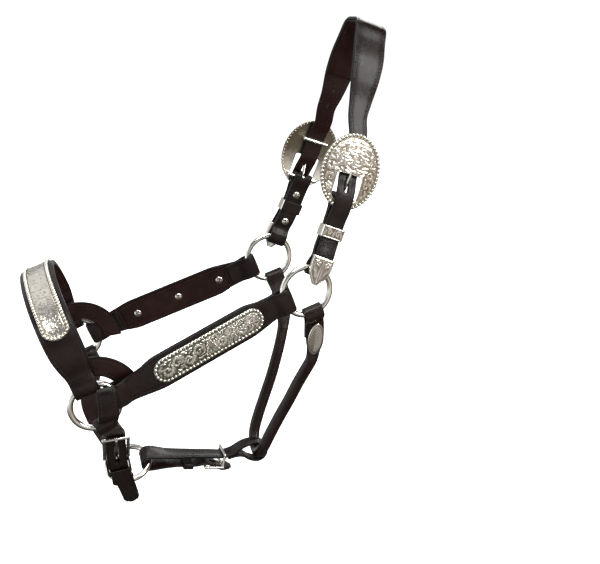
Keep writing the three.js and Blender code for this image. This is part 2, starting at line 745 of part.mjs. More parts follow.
function chinStraps() {
  const spare = { wire: NOSE_RING.wire, slack: 1.4 };
  const bars = frameAt(CHIN_HEEL_BAR, CHIN_TOP_BAR.clone().sub(CHIN_HEEL_BAR), V(0, -1, -0.4));
  const near = chinRingPoint(-95);
  const down = frameAt(CHIN_HEEL_BAR, near.at.clone().sub(CHIN_HEEL_BAR), V(0, -1, -0.4));
  const run = CHIN_HEEL_BAR.distanceTo(near.at);
  const length = CHIN_TOP_BAR.distanceTo(CHIN_HEEL_BAR);
  const plain = (f, e, o, width = CHIN_WIDTH, shift = 0) =>
    ({ at: f.point(e, o, shift), across: f.across, width, thick: PLY, steps: 2 });

  const top = hitch(noseRingPoint(-1), CHIN_TOP_BAR, V(0, -1, -0.4), CHIN_WIDTH, 22, spare);
  const under = -(FRAME_BAR + GAP + PLY / 2) - 0.2;
  const over = FRAME_BAR + 2 * GAP + 1.5 * PLY + 0.5;
  const billet = strip(agreed([
    ...top.stations,
    plain(bars, length + 4, under),
    plain(bars, length - 3, under + 0.2),
    plain(bars, length / 2 + 2, 0.6),
    plain(bars, 6, over - 1),
    plain(down, 0, over + 0.4),
    plain(down, 10, over - 0.3),
    plain(down, 22, over - 0.6),
    plain(down, 38, over + 0.6, CHIN_WIDTH, 1.6),
    plain(down, run - 9, 10.4, 18, 3.2),
    plain(down, run + 8, 11.4, 17.5, 4.2),
    plain(down, run + 22, 11.5, 17, 4.6),
    plain(down, run + 28, 11.7, 13.5, 4.8),
    plain(down, run + 31, 11.8, 6.5, 4.9),
  ]));
  const slot = new THREE.BoxGeometry(23, 4.4, 16).translate(11.5, 0, 5);
  const punched = cut(billet, placed(slot, CHIN_HEEL_BAR, bars.along, bars.out));
  add("left_chin_billet", punched, LEATHER);

  const low = hitch(near, CHIN_HEEL_BAR, V(0, -1, -0.4), CHIN_WIDTH, 0, spare);
  const open = FRAME_BAR + GAP + PLY / 2;
  const shut = (PLY + GAP) / 2;
  const chape = strip(agreed([
    plain(down, 31, -shut),
    ...low.stations,
    plain(down, 24, shut),
    plain(down, 12, shut + 0.3),
    ...[[2, 1], [-2.6, 0.72], [-open, 0], [-2.6, -0.72], [2, -1]].map(([e, h]) =>
      ({ ...plain(down, e, h * open), across: bars.across })),
    plain(down, 12, -shut - 0.3),
    plain(down, 29, -shut),
  ]));
  const gate = new THREE.BoxGeometry(15, 4.4, 14);
  add("chin_buckle_strap", cut(chape, placed(gate, CHIN_HEEL_BAR, bars.along, bars.out)), LEATHER);

  const reach = CHIN_WIDTH / 2 + FRAME_BAR + 0.6;
  const corner = (e, side) => bars.point(e, 0, side * reach);
  const frame = join(
    rod(bars.point(0, 0, -reach - 1), bars.point(0, 0, reach + 1), FRAME_BAR),
    rod(bars.point(length, 0, -reach - 1), bars.point(length, 0, reach + 1), FRAME_BAR),
    rod(corner(0, -1), corner(length, -1), FRAME_BAR + 0.1),
    rod(corner(0, 1), corner(length, 1), FRAME_BAR + 0.1),
  );
  add("chin_buckle", frame, NICKEL);
  const pin = { eye: 3.1, width: 3, tip: length + 1.4, rise: 3.4, radius: 1.2 };
  const tongue = placed(tongueGeometry(pin, FRAME_BAR), CHIN_HEEL_BAR, bars.along, bars.out);
  add("chin_buckle_tongue", tongue, NICKEL);

  const inner = -(PLY + GAP / 2) - GAP - 0.4;
  const outer = over + PLY / 2 + GAP + 0.2;
  const middle = down.point(17, (inner + outer) / 2);
  const loop = (grow, tall) =>
    new THREE.BoxGeometry(tall, CHIN_WIDTH + 1.2 + 2 * grow, outer - inner + 2 * grow);
  const band = cut(loop(2, 10), loop(0, 14));
  add("chin_keeper", placed(band, middle, down.along, down.out), LEATHER);

  const far = chinRingPoint(135);
  const start = hitch(noseRingPoint(1), V(-212, 47, -139), V(0, 1, -0.4), CHIN_WIDTH, 24, spare);
  const end = hitch(far, V(-208, 34, -157), V(-0.3, 1, -0.4), CHIN_WIDTH, 24, spare);
  const sag = [[-213, 51, -140], [-210, 40, -154]].map(([x, y, z]) => ({
    at: V(x, y, z),
    across: start.across.clone().lerp(end.across, end.across.dot(start.across) < 0 ? 0 : 0.5),
    width: CHIN_WIDTH,
    thick: PLY,
    steps: 2,
  }));
  add("right_chin_strap", strip(agreed([...start.stations, ...sag, ...end.stations.reverse()])), LEATHER);

  const ring = add("chin_ring", ringGeometry(CHIN_RING), NICKEL);
  ring.position.copy(CHIN_RING_AT);
  const axis = new THREE.Vector3().crossVectors(CHIN_RIGHT, CHIN_BACK).normalize();
  ring.quaternion.setFromUnitVectors(Z_AXIS, axis);
}

const THROAT_BOTTOM = V(-36.3, 0, -208);
const ROLL = 12.4; // the rolled part of the throat strap
const JAW = { width: 19, front: 62, heel: 82, level: -6, bar: 1.5, keeper: 43 };

function jawStrap() {
  const ring = chinRingPoint(17);
  const base = frameAt(ring.at, V(0.982, 0, -0.187), Z_AXIS);
  const hook = THROAT_BOTTOM.clone().sub(ring.at);
  const s = hook.dot(base.along);
  const o = hook.dot(base.out);
  const tip = [[94, -9.6, 8], [91, -9.5, 15], [82, -9.7], [73, -6.6], [62.5, -2.6], [54.5, -5], [44, -5.3], [30, -5.5], [18, -5.6]];
  const round = [[4, -6.9], [-2, -6.9], [-6.4, -4.8], [-8.2, 0], [-6.4, 4.8], [-2, 6.9], [4, 6.9]];
  const upper = [[18, 5.6], [50, 5.3], [70, 5], [82, 5], [92, 8], [104, o + 7.4, 17], [112, o + 10.8, 16]];
  const r = 9.4;
  const loop = [[s, o + 11.8], [s + 7, o + 7.8], [s + r, o + 0.6], [s + 6.4, o - 6.4], [s, o - r], [s - 9, o - 8]]
    .map(([e, h]) => [e, h, 15]);
  const back = [[s - 17, 5.6, 16], [98, 6, 17], [88, 2.8, 17]];
  const station = ([e, h, width = JAW.width]) => {
    const near = THREE.MathUtils.clamp(1 - Math.abs(e) / 30, 0, 1);
    const across = Y_AXIS.clone().lerp(ring.tangent, near).normalize();
    const y = THREE.MathUtils.lerp(0, -ring.at.y, THREE.MathUtils.clamp(e / 60, 0, 1));
    return { at: base.point(e, h).add(V(0, y, 0)), across, width, thick: PLY, steps: 2 };
  };
  const strap = strip([...tip, ...round, ...upper, ...loop, ...back].map(station));
  const heel = base.point(JAW.heel, JAW.level).setY(0);
  const level = { at: heel, along: base.along.clone().negate(), out: base.out.clone().negate() };
  const slot = placed(new THREE.BoxGeometry(20, 4.2, 9).translate(5.5, 0, 1.8), heel, level.along, level.out);
  add("jaw_strap", cut(strap, slot), LEATHER);

  const reach = JAW.width / 2 + JAW.bar + 0.6;
  const at = (e, h, side) => base.point(e, h).setY(side * reach);
  const cross = (e, h) => rod(at(e, h, -1.08), at(e, h, 1.08), JAW.bar);
  const sides = [-1, 1].flatMap((side) => [
    rod(at(JAW.front, JAW.level, side), at(JAW.heel, JAW.level, side), JAW.bar + 0.1),
    rod(at(JAW.heel, JAW.level, side), at(JAW.heel, 8.8, side), JAW.bar),
  ]);
  const frame = join(cross(JAW.front, JAW.level), cross(JAW.heel, JAW.level), cross(JAW.heel, 8.8), ...sides);
  add("jaw_buckle", frame, NICKEL);
  const pin = { eye: 3, width: 3, tip: JAW.heel - JAW.front + 1.2, rise: 3.2, radius: 1.2 };
  add("jaw_buckle_tongue", placed(tongueGeometry(pin, JAW.bar), level.at, level.along, level.out), NICKEL);

  const loopBox = (grow, tall) => new THREE.BoxGeometry(tall, JAW.width + 1 + 2 * grow, PLY + 1 + 2 * grow);
  const seat = base.point(JAW.keeper, -5.25).setY(-0.4);
  add("jaw_keeper", placed(cut(loopBox(1.8, 11), loopBox(0, 15)), seat, base.along, base.out), LEATHER);
}

// ---- Throat strap -------------------------------------------------------------------

// One side of the throat strap below its tab: [back, spread, height, width, thickness].
const THROAT_LINE = [
  [12, 54.5, -46, 20, PLY],
  [13.4, 52, -60, 19, PLY],
  [13.2, 50.6, -71, 15, 7],
  [11.6, 49, -82, ROLL, ROLL],
  [6, 43, -98, ROLL, ROLL],
  [0, 38, -113, ROLL, ROLL],
  [-8, 33, -133, ROLL, ROLL],
  [-18, 28, -155, ROLL, ROLL],
  [-28, 23.5, -178, ROLL, ROLL],
  [-33.5, 19.5, -193, ROLL, ROLL],
  [-35.8, 11.5, -203.6, ROLL, ROLL],
];
const CONCHO = { length: 38, width: 17, thick: 1.6 };

function throat() {
  const down = V(0.3, 0, -0.954).normalize();
  const outAcross = V(0.954, 0, 0.3).normalize();
  const leg = (side) => {
    const ring = V(0, side * CHEEK_RING_SPREAD, 0);
    const fold = folded(ring, down, V(0, side, 0), CHEEK_RING, 20, 36)
      .map((s) => ({ ...s, across: outAcross, round: 0.3 }));
    const shut = (PLY + GAP) / 2;
    const tab = frameAt(V(12, side * 54, -46), V(0.06, side * -0.16, -0.985), V(0, side, 0));
    fold[0] = { ...fold[0], at: tab.point(9, -shut) };
    fold[1] = { ...fold[1], at: tab.point(-4, -shut) };
    const last = fold.length - 1;
    fold[last] = { ...fold[last], at: tab.point(-6, shut) };
    const rest = THROAT_LINE.slice(1).map(([x, y, z, width, thick], i) => ({
      at: V(x, side * y, z).addScaledVector(V(0, side, 0), i === 0 ? shut : 0),
      across: outAcross,
      width,
      thick,
      round: 0.29 * Math.min(width, thick),
      steps: 2,
    }));
    return { stations: [...fold, ...rest], tab, shut };
  };
  const left = leg(-1);
  const right = leg(1);
  const bottom = { at: THROAT_BOTTOM, across: outAcross, width: ROLL, thick: ROLL, round: 0.29 * ROLL, steps: 2 };
  const seats = [["left", left], ["right", right]];
  const holes = seats.map(([, { tab }]) => placed(holeGeometry(), tab.point(0, 0), tab.along, tab.out));
  const route = [...left.stations, bottom, ...right.stations.reverse()];
  add("throat_strap", cut(strip(route), ...holes), LEATHER);
  const leaf = new THREE.Shape();
  leaf.absellipse(0, 0, CONCHO.length / 2, CONCHO.width / 2, 0, 2 * Math.PI, false);
  for (const [name, { tab }] of seats) {
    const face = PLY + GAP / 2;
    const slant = tab.along.clone().applyAxisAngle(tab.out, name === "left" ? -0.12 : 0.12);
    add(`${name}_throat_concho`, placed(slab(leaf, CONCHO.thick, 10), tab.point(9.5, face + GAP + 2.6), slant, tab.out), SILVER);
    const screw = placed(screwGeometry(2 * face), tab.point(0, -face - GAP), tab.along, tab.out);
    add(`${name}_throat_screw`, screw, NICKEL);
  }
}

// ---- Build --------------------------------------------------------------------------

for (const [name, side] of SIDES) cheekPiece(name, side);
headstall();
noseband();
chinStraps();
jawStrap();
throat();

const poll = POLL.clone().addScaledVector(
  V(POLL.x, 0, POLL.z).normalize(),
  -(PLY / 2 + GAP + LINING),
);
halter.position.copy(poll).negate();

export default halter;
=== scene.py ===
"""A silver-mounted leather show halter. Lengths are millimetres in the halter's own working frame,
with the line through both cheek rings at x = z = 0, and are turned into the row frame by metres()."""

import json
import math

import bpy
import numpy as np
from mathutils import Matrix, Vector


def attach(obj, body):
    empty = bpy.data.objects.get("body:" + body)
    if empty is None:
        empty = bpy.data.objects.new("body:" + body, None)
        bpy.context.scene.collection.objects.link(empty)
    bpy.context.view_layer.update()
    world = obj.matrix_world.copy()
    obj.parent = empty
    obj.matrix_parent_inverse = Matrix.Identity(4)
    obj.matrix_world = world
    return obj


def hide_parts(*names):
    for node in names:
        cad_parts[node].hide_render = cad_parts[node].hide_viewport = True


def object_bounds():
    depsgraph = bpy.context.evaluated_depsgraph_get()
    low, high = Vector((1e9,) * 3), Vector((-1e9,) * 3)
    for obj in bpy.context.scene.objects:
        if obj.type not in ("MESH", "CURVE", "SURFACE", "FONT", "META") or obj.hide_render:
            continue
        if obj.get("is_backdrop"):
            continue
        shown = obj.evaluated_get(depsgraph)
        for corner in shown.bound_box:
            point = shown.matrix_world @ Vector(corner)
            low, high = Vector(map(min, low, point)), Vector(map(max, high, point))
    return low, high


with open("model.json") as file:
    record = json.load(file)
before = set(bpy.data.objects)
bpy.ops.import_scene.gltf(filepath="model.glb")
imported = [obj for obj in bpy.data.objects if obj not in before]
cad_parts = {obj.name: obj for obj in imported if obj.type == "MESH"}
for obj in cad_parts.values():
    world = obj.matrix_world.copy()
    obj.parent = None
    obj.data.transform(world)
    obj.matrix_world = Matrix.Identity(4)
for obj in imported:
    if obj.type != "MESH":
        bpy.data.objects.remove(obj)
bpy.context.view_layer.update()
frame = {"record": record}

BODY = {n: b for b, ns in frame["record"]["behaviour"]["bodies"].items() for n in ns}
SIDES = (("left", -1), ("right", 1))

# ---- The dimensions of the CAD model -------------------------------------------------
GAP, PLY, LINING = 0.4, 2.6, 2.0
CHEEK_RING, NOSE_RING = (25.2, 3.0), (22.5, 3.0)
CHEEK_SPREAD = 65.0
NOSE_AT = (-216.0, 88.0, -81.0)
CHIN_RING_AT = np.array([-181.0, 0.0, -197.0])
CROWN_WIDTH, BILLET = 34.0, 20.0
POLL = np.array([87.0, 0.0, 256.5])
POLL_OUT = POLL / np.linalg.norm(POLL)
ORIGIN = POLL - POLL_OUT * (PLY / 2 + GAP + LINING)


def vec(*p):
    return np.array(p, float)


def unit(v):
    v = np.asarray(v, float)
    return v / np.linalg.norm(v)


def metres(points):
    return (np.asarray(points, float) - ORIGIN) / 1000.0


def lerp(a, b, f):
    return a + (b - a) * f


# ---- Materials -----------------------------------------------------------------------


def material(name, build):
    made = bpy.data.materials.new(name)
    made.use_nodes = True
    tree = made.node_tree
    build(tree, tree.nodes["Principled BSDF"])
    return made


def node(tree, kind, **values):
    made = tree.nodes.new(kind)
    for key, value in values.items():
        if key.startswith("in_"):
            slot = key[3:].replace("_", " ")
            made.inputs[int(slot) if slot.isdigit() else slot].default_value = value
        else:
            setattr(made, key, value)
    return made


def ramp(tree, source, stops):
    made = tree.nodes.new("ShaderNodeValToRGB")
    while len(made.color_ramp.elements) < len(stops):
        made.color_ramp.elements.new(0.5)
    for element, (at, colour) in zip(made.color_ramp.elements, stops):
        element.position = at
        element.color = (*colour, 1)
    tree.links.new(source, made.inputs["Fac"])
    return made.outputs["Color"]


def mix(tree, factor, a, b, blend="MIX"):
    made = tree.nodes.new("ShaderNodeMix")
    made.data_type = "RGBA"
    made.blend_type = blend
    for key, value in ((0, factor), (6, a), (7, b)):
        if hasattr(value, "is_output"):
            tree.links.new(value, made.inputs[key])
        else:
            made.inputs[key].default_value = value if key == 0 else (*value, 1)
    return made.outputs[2]


def maths(tree, operation, a, b=None, clamp=False):
    made = tree.nodes.new("ShaderNodeMath")
    made.operation = operation
    made.use_clamp = clamp
    for i, value in enumerate((a, b)):
        if value is None:
            continue
        if hasattr(value, "is_output"):
            tree.links.new(value, made.inputs[i])
        else:
            made.inputs[i].default_value = value
    return made.outputs[0]


def attribute(tree, name):
    return node(tree, "ShaderNodeAttribute", attribute_name=name).outputs["Fac"]


def noise(tree, scale, detail=3.0, roughness=0.5):
    place = tree.nodes.new("ShaderNodeTexCoord")
    made = node(tree, "ShaderNodeTexNoise", in_Scale=scale, in_Detail=detail, in_Roughness=roughness)
    tree.links.new(place.outputs["Object"], made.inputs["Vector"])
    return made.outputs["Fac"]


def bumps(tree, shader, *layers):
    """layers are (height, strength, distance in metres), the first being the finest."""
    last = None
    for height, strength, distance in layers:
        made = node(tree, "ShaderNodeBump", in_Strength=strength, in_Distance=distance)
        tree.links.new(height, made.inputs["Height"])
        if last is not None:
            tree.links.new(last, made.inputs["Normal"])
        last = made.outputs["Normal"]
    tree.links.new(last, shader.inputs["Normal"])


def leather(dark, light, back, edge, gloss, name, shine=0.22):
    """Finished leather: pebbled grain, long creases, a smoother worn top and a dark burnished edge."""

    def build(tree, shader):
        place = tree.nodes.new("ShaderNodeTexCoord")
        cells = node(tree, "ShaderNodeTexVoronoi", in_Scale=1150.0, feature="DISTANCE_TO_EDGE")
        tree.links.new(place.outputs["Object"], cells.inputs["Vector"])
        pebble = ramp(tree, cells.outputs["Distance"], [(0.0, (0, 0, 0)), (0.22, (1, 1, 1))])
        cloud = noise(tree, 42.0, 4.0, 0.6)
        fine = noise(tree, 900.0, 2.0)
        tone = ramp(tree, cloud, [(0.32, dark), (0.7, light)])
        worn = ramp(tree, noise(tree, 150.0, 5.0, 0.7), [(0.35, (0.8, 0.8, 0.8)), (0.7, (1.18, 1.12, 1.1))])
        tone = mix(tree, 1.0, tone, worn, "MULTIPLY")
        reverse = mix(tree, 1.0, back, worn, "MULTIPLY")
        sided = mix(tree, attribute(tree, "grain"), reverse, tone)
        rim = maths(tree, "POWER", attribute(tree, "edge"), 3.0)
        colour = mix(tree, rim, sided, edge)
        tree.links.new(colour, shader.inputs["Base Color"])
        rough = ramp(tree, cloud, [(0.3, (gloss - 0.07,) * 3), (0.75, (gloss + 0.09,) * 3)])
        tree.links.new(rough, shader.inputs["Roughness"])
        shader.inputs["Specular IOR Level"].default_value = shine
        shader.inputs["Coat Weight"].default_value = 0.14
        shader.inputs["Coat Roughness"].default_value = 0.22
        crease = noise(tree, 260.0, 6.0, 0.65)
        bumps(tree, shader, (pebble, 0.35, 0.00012), (crease, 0.4, 0.0003), (fine, 0.2, 0.00006))

    return material(name, build)


def silver(name, bright, recess, rough):
    """Engraved silver: its relief is in the mesh, and the recesses hold tarnish and old polish. The same relief tone
    also carries painted shade and highlight where a piece sets it so, as on a buckle plate's back.
    """

    def build(tree, shader):
        relief = attribute(tree, "relief")
        stain = noise(tree, 220.0, 5.0, 0.65)
        factor = maths(tree, "ADD", relief, maths(tree, "MULTIPLY", maths(tree, "SUBTRACT", stain, 0.5), 0.5))
        toned = ramp(tree, factor, [(0.12, recess), (0.62, bright)])
        patch = ramp(tree, noise(tree, 34.0, 2.0), [(0.35, (0.9, 0.9, 0.84)), (0.65, (1, 1, 1))])
        tree.links.new(mix(tree, 1.0, toned, patch, "MULTIPLY"), shader.inputs["Base Color"])
        worn = ramp(tree, factor, [(0.1, (rough + 0.22,) * 3), (0.7, (rough,) * 3)])
        tree.links.new(worn, shader.inputs["Roughness"])
        shader.inputs["Metallic"].default_value = 1.0
        place = tree.nodes.new("ShaderNodeTexCoord")
        stretch = node(tree, "ShaderNodeMapping", in_Scale=(1.0, 1.0, 9.0))
        tree.links.new(place.outputs["Object"], stretch.inputs["Vector"])
        scratch = node(tree, "ShaderNodeTexNoise", in_Scale=700.0, in_Detail=2.0)
        tree.links.new(stretch.outputs["Vector"], scratch.inputs["Vector"])
        bumps(tree, shader, (scratch.outputs["Fac"], 0.12, 0.00004), (stain, 0.25, 0.00010))

    return material(name, build)


def thread_material(tree, shader):
    tone = ramp(tree, noise(tree, 500.0, 3.0), [(0.3, (0.012, 0.007, 0.006)), (0.7, (0.036, 0.021, 0.017))])
    tree.links.new(tone, shader.inputs["Base Color"])
    shader.inputs["Roughness"].default_value = 0.62
    shader.inputs["Specular IOR Level"].default_value = 0.12
    twist = node(tree, "ShaderNodeTexWave", in_Scale=900.0, in_Distortion=1.5)
    place = tree.nodes.new("ShaderNodeTexCoord")
    tree.links.new(place.outputs["Object"], twist.inputs["Vector"])
    bumps(tree, shader, (twist.outputs["Fac"], 0.5, 0.00008))


# Painted shade: a near-black for the dark down a punched hole and in a screw's slot.
def hole_shade_material(tree, shader):
    tone = ramp(tree, noise(tree, 900.0), [(0.3, (0.006, 0.003, 0.002)), (0.7, (0.05, 0.02, 0.014))])
    tree.links.new(tone, shader.inputs["Base Color"])
    shader.inputs["Roughness"].default_value = 0.9


STRAP = leather((0.0046, 0.0022, 0.0019), (0.0093, 0.0045, 0.0036),
                (0.0112, 0.0030, 0.0022), (0.0019, 0.0011, 0.0009), 0.29, "strap_leather")
LINED = leather((0.0081, 0.0026, 0.0019), (0.0186, 0.0062, 0.0041),
                (0.0093, 0.0038, 0.0031), (0.0025, 0.0014, 0.0011), 0.36, "lining_leather", 0.10)
ROLLED = leather((0.0056, 0.0026, 0.0021), (0.0124, 0.0057, 0.0045),
                 (0.0074, 0.0031, 0.0025), (0.0019, 0.0011, 0.0009), 0.26, "rolled_leather")
SILVER = silver("engraved_silver", (0.94, 0.925, 0.87), (0.17, 0.17, 0.135), 0.2)
BRIGHT = silver("bright_cut_silver", (0.93, 0.89, 0.83), (0.26, 0.22, 0.165), 0.2)
BEAD = silver("beaded_silver", (0.94, 0.93, 0.88), (0.30, 0.29, 0.25), 0.16)
NICKEL = silver("nickel", (0.92, 0.90, 0.86), (0.50, 0.48, 0.44), 0.19)
SAFE_LEATHER = leather((0.0074, 0.0025, 0.0021), (0.0161, 0.0053, 0.0042),
                       (0.0093, 0.0037, 0.0031), (0.0022, 0.0012, 0.0011), 0.31, "safe_leather", 0.12)
THREAD = material("waxed_thread", thread_material)
# The material below is painted shade: near-black for punched holes and screw slots.
HOLE_SHADE = material("painted_hole_shade", hole_shade_material)


# ---- Meshes --------------------------------------------------------------------------


def piece(name, points, faces, finish, node_name, replaces=True, smooth=True, **attributes):
    """A closed mesh that rides with a CAD node's body and, unless told otherwise, stands for it."""
    mesh = bpy.data.meshes.new(name)
    mesh.from_pydata([tuple(p) for p in metres(points)], [], [tuple(int(i) for i in f) for f in faces])
    for key, values in attributes.items():
        made = mesh.attributes.new(key, "FLOAT", "POINT")
        made.data.foreach_set("value", np.asarray(values, np.float32).ravel())
    mesh.materials.append(finish)
    mesh.validate()
    if smooth:
        mesh.shade_smooth()
    made = bpy.data.objects.new(name, mesh)
    bpy.context.scene.collection.objects.link(made)
    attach(made, BODY[node_name])
    if replaces:
        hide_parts(node_name)
    return made


def tube_faces(rows, ring, start=0, ends=True, closed=False):
    faces = []
    for r in range(rows if closed else rows - 1):
        a, b = start + r * ring, start + ((r + 1) % rows) * ring
        for k in range(ring):
            n = (k + 1) % ring
            faces.append((a + k, a + n, b + n, b + k))
    if ends and not closed:
        last = start + (rows - 1) * ring
        faces.append(tuple(start + k for k in reversed(range(ring))))
        faces.append(tuple(last + k for k in range(ring)))
    return faces


def rows_mesh(rows, closed=False):
    """Points and outward faces of a tube through rings of points of equal number."""
    stack = np.array(rows, float)
    count, ring = stack.shape[:2]
    points = stack.reshape(-1, 3)
    faces = tube_faces(count, ring, closed=closed)
    middle = stack.mean(axis=1)
    first = stack[0]
    along = middle[1] - middle[0]
    area = np.zeros(3)
    for k in range(ring):
        area += np.cross(first[k] - middle[0], first[(k + 1) % ring] - middle[0])
    if np.dot(area, along) < 0:
        faces = [tuple(reversed(f)) for f in faces]
    return points, faces


def merged(parts):
    """Joins [(points, faces), ...] into one list of points and faces."""
    points, faces, base = [], [], 0
    for p, f in parts:
        points.append(np.asarray(p, float))
        faces += [tuple(i + base for i in face) for face in f]
        base += len(p)
    return np.concatenate(points), faces


def spline(points, step):
    """Dense samples of the CAD model's centripetal curve: places, directions and station numbers."""
    pts = [np.asarray(p, float) for p in points]
    out, tangents, where = [], [], []
    for i in range(len(pts) - 1):
        p1, p2 = pts[i], pts[i + 1]
        p0 = pts[i - 1] if i else 2 * p1 - p2
        p3 = pts[i + 2] if i + 2 < len(pts) else 2 * p2 - p1
        d0, d1, d2 = (max(np.linalg.norm(b - a), 1e-6) ** 0.5 for a, b in ((p0, p1), (p1, p2), (p2, p3)))
        t1 = ((p1 - p0) / d0 - (p2 - p0) / (d0 + d1) + (p2 - p1) / d1) * d1
        t2 = ((p2 - p1) / d1 - (p3 - p1) / (d1 + d2) + (p3 - p2) / d2) * d1
        count = max(2, int(math.ceil(np.linalg.norm(p2 - p1) / step)))
        for k in range(count + (i == len(pts) - 2)):
            f = k / count
            c2, c3 = -3 * p1 + 3 * p2 - 2 * t1 - t2, 2 * p1 - 2 * p2 + t1 + t2
            out.append(p1 + t1 * f + c2 * f * f + c3 * f ** 3)
            tangents.append(unit(t1 + 2 * c2 * f + 3 * c3 * f * f))
            where.append(i + f)
    return np.array(out), np.array(tangents), np.array(where)


def st(at, across, width, thick=PLY, **more):
    return {"at": np.asarray(at, float), "across": np.asarray(across, float), "width": width, "thick": thick, **more}


class Strap:
    """A strap's samples: places, directions, widths and lengths along it."""

    def __init__(self, stations, step=1.6, ease=5.0):
        self.at, self.along, where = spline([s["at"] for s in stations], step)
        low = np.clip(where.astype(int), 0, len(stations) - 2)
        f = (where - low)[:, None]
        pick = lambda key: np.array([np.atleast_1d(stations[i][key]) for i in range(len(stations))], float)
        across = pick("across")
        across = across[low] * (1 - f) + across[low + 1] * f
        across -= (across * self.along).sum(1)[:, None] * self.along
        self.across = across / np.linalg.norm(across, axis=1)[:, None]
        self.up = np.cross(self.along, self.across)
        self.length = np.concatenate([[0], np.cumsum(np.linalg.norm(np.diff(self.at, axis=0), axis=1))])
        for key in ("width", "thick"):
            values = pick(key)[:, 0]
            values = values[low] * (1 - f[:, 0]) + values[low + 1] * f[:, 0]
            setattr(self, key, self.eased(values, ease if key == "width" else 0.5))

    def eased(self, values, reach):
        out = np.empty_like(values)
        for i, s in enumerate(self.length):
            near = np.abs(self.length - s) < min(reach, s + 0.01, self.length[-1] - s + 0.01)
            out[i] = values[near].mean()
        return out

    def sample(self, s):
        """Place, along, across, up, width and thickness at a length along the strap."""
        pick = lambda a: np.array([np.interp(s, self.length, a[:, k]) for k in range(3)])
        return (pick(self.at), unit(pick(self.along)), unit(pick(self.across)), unit(pick(self.up)),
                np.interp(s, self.length, self.width), np.interp(s, self.length, self.thick))

    def nearest(self, point, after=0.0):
        gaps = np.linalg.norm(self.at - point, axis=1) + 1e6 * (self.length < after)
        return self.length[int(gaps.argmin())]


def leather_section(w, h, grain, crown):
    """Half a strap's outline has a rounded edge, a pressed crease and a slightly domed face."""
    r = min(h * 0.85, 1.0)
    points, edge, face = [], [], []

    def put(u, v, e, g):
        points.append((u, v * grain))
        edge.append(e)
        face.append(g)

    for sign in (1, -1):
        turn = np.linspace(-90, 90, 7) if sign > 0 else np.linspace(90, 270, 7)
        for a in np.radians(turn):
            put(sign * (w - r) + r * math.cos(a), (h - r) * np.sign(math.sin(a)) + r * math.sin(a),
                1.0 if abs(math.sin(a)) < 0.95 else 0.75, 1.0 if math.sin(a) > 0 else 0.0)
        if sign > 0:
            for u, d, e in ((w - 1.3, 0.0, 0.45), (w - 1.65, -0.28, 0.9), (w - 2.0, 0.0, 0.35),
                            (w - 3.1, 0.02, 0.15), (w - 3.5, -0.1, 0.35), (w - 3.9, 0.02, 0.1),
                            (w * 0.45, crown * 0.8, 0.0), (0, crown, 0.0), (-w * 0.45, crown * 0.8, 0.0),
                            (3.9 - w, 0.02, 0.1), (3.5 - w, -0.1, 0.35), (3.1 - w, 0.02, 0.15),
                            (2.0 - w, 0.0, 0.35), (1.65 - w, -0.28, 0.9), (1.3 - w, 0.0, 0.45)):
                put(u, h + d, e, 1.0)
        else:
            for u in (1.6 - w, -w * 0.4, w * 0.4, w - 1.6):
                put(u, -h, 0.1, 0.0)
    return np.array(points), edge, face


def strap_piece(name, strap, finish, node_name, grain=1, crown=0.25, replaces=True, shape=None):
    rows, edges, faces_of = [], [], []
    for i in range(len(strap.at)):
        w, h = strap.width[i] / 2, strap.thick[i] / 2
        if shape is not None:
            section, e, g = shape(w, h, i)
        else:
            section, e, g = leather_section(max(w, 4.2), h, grain, crown)
            section = section * (min(1.0, w / 4.2), 1)
        rows.append(strap.at[i] + section[:, :1] * strap.across[i] + section[:, 1:] * strap.up[i])
        edges += list(e)
        faces_of += list(g)
    edges = np.array(edges)
    ring = len(rows[0])
    edges[:ring] = edges[-ring:] = 1.0
    points, faces = rows_mesh(rows)
    return piece(name, points, faces, finish, node_name, replaces, edge=edges, grain=faces_of)


def capsule(at, along, up, length, radius):
    """A stitch: a little closed lozenge that dives into the leather at both ends."""
    side = np.cross(along, up)
    rows = []
    for f, r, sink in ((-0.5, 0.35, 0.28), (-0.3, 0.9, 0.03), (0.0, 1.05, -0.05), (0.3, 0.9, 0.03), (0.5, 0.35, 0.28)):
        centre = at + along * f * length - up * sink
        rows.append([centre + radius * r * (math.cos(a) * side + math.sin(a) * up)
                     for a in np.arange(6) * math.pi / 3])
    return rows_mesh(rows)


def stitch_rows(strap, rows, grain, pitch=3.3, skip=()):
    """rows are (inset from the edge, which edge, first length, last length)."""
    parts = []
    for inset, edge, first, last in rows:
        for s in np.arange(first, last, pitch):
            if any(a < s < b for a, b in skip):
                continue
            at, along, across, up, width, thick = strap.sample(s)
            up = up * grain
            spot = at + across * edge * (width / 2 - inset) + up * (thick / 2 + 0.06)
            lean = unit(along + across * edge * 0.08)
            parts.append(capsule(spot, lean, up, pitch * 0.78, 0.40))
    return merged(parts)


def stitching(name, strap, node_name, rows, grain=1, pitch=3.3, skip=()):
    points, faces = stitch_rows(strap, rows, grain, pitch, skip)
    return piece(name, points, faces, THREAD, node_name, replaces=False)


def both(inset, first, last):
    return [(inset, 1, first, last), (inset, -1, first, last)]


def revolve(profile, sides=20):
    """A closed turned solid about +z from [(radius, height), ...], which starts and ends on the axis."""
    angles = np.arange(sides) * 2 * math.pi / sides
    points, faces = [(0, 0, profile[0][1])], []
    for r, h in profile[1:-1]:
        points += [(r * math.cos(a), r * math.sin(a), h) for a in angles]
    points.append((0, 0, profile[-1][1]))
    count = len(profile) - 2
    for k in range(sides):
        n = (k + 1) % sides
        faces.append((0, 1 + n, 1 + k))
        for j in range(count - 1):
            a, b = 1 + j * sides, 1 + (j + 1) * sides
            faces.append((a + k, a + n, b + n, b + k))
        end = 1 + (count - 1) * sides
        faces.append((end + k, end + n, len(points) - 1))
    if profile[0][1] > profile[-1][1]:
        faces = [tuple(reversed(f)) for f in faces]
    return np.array(points, float), faces


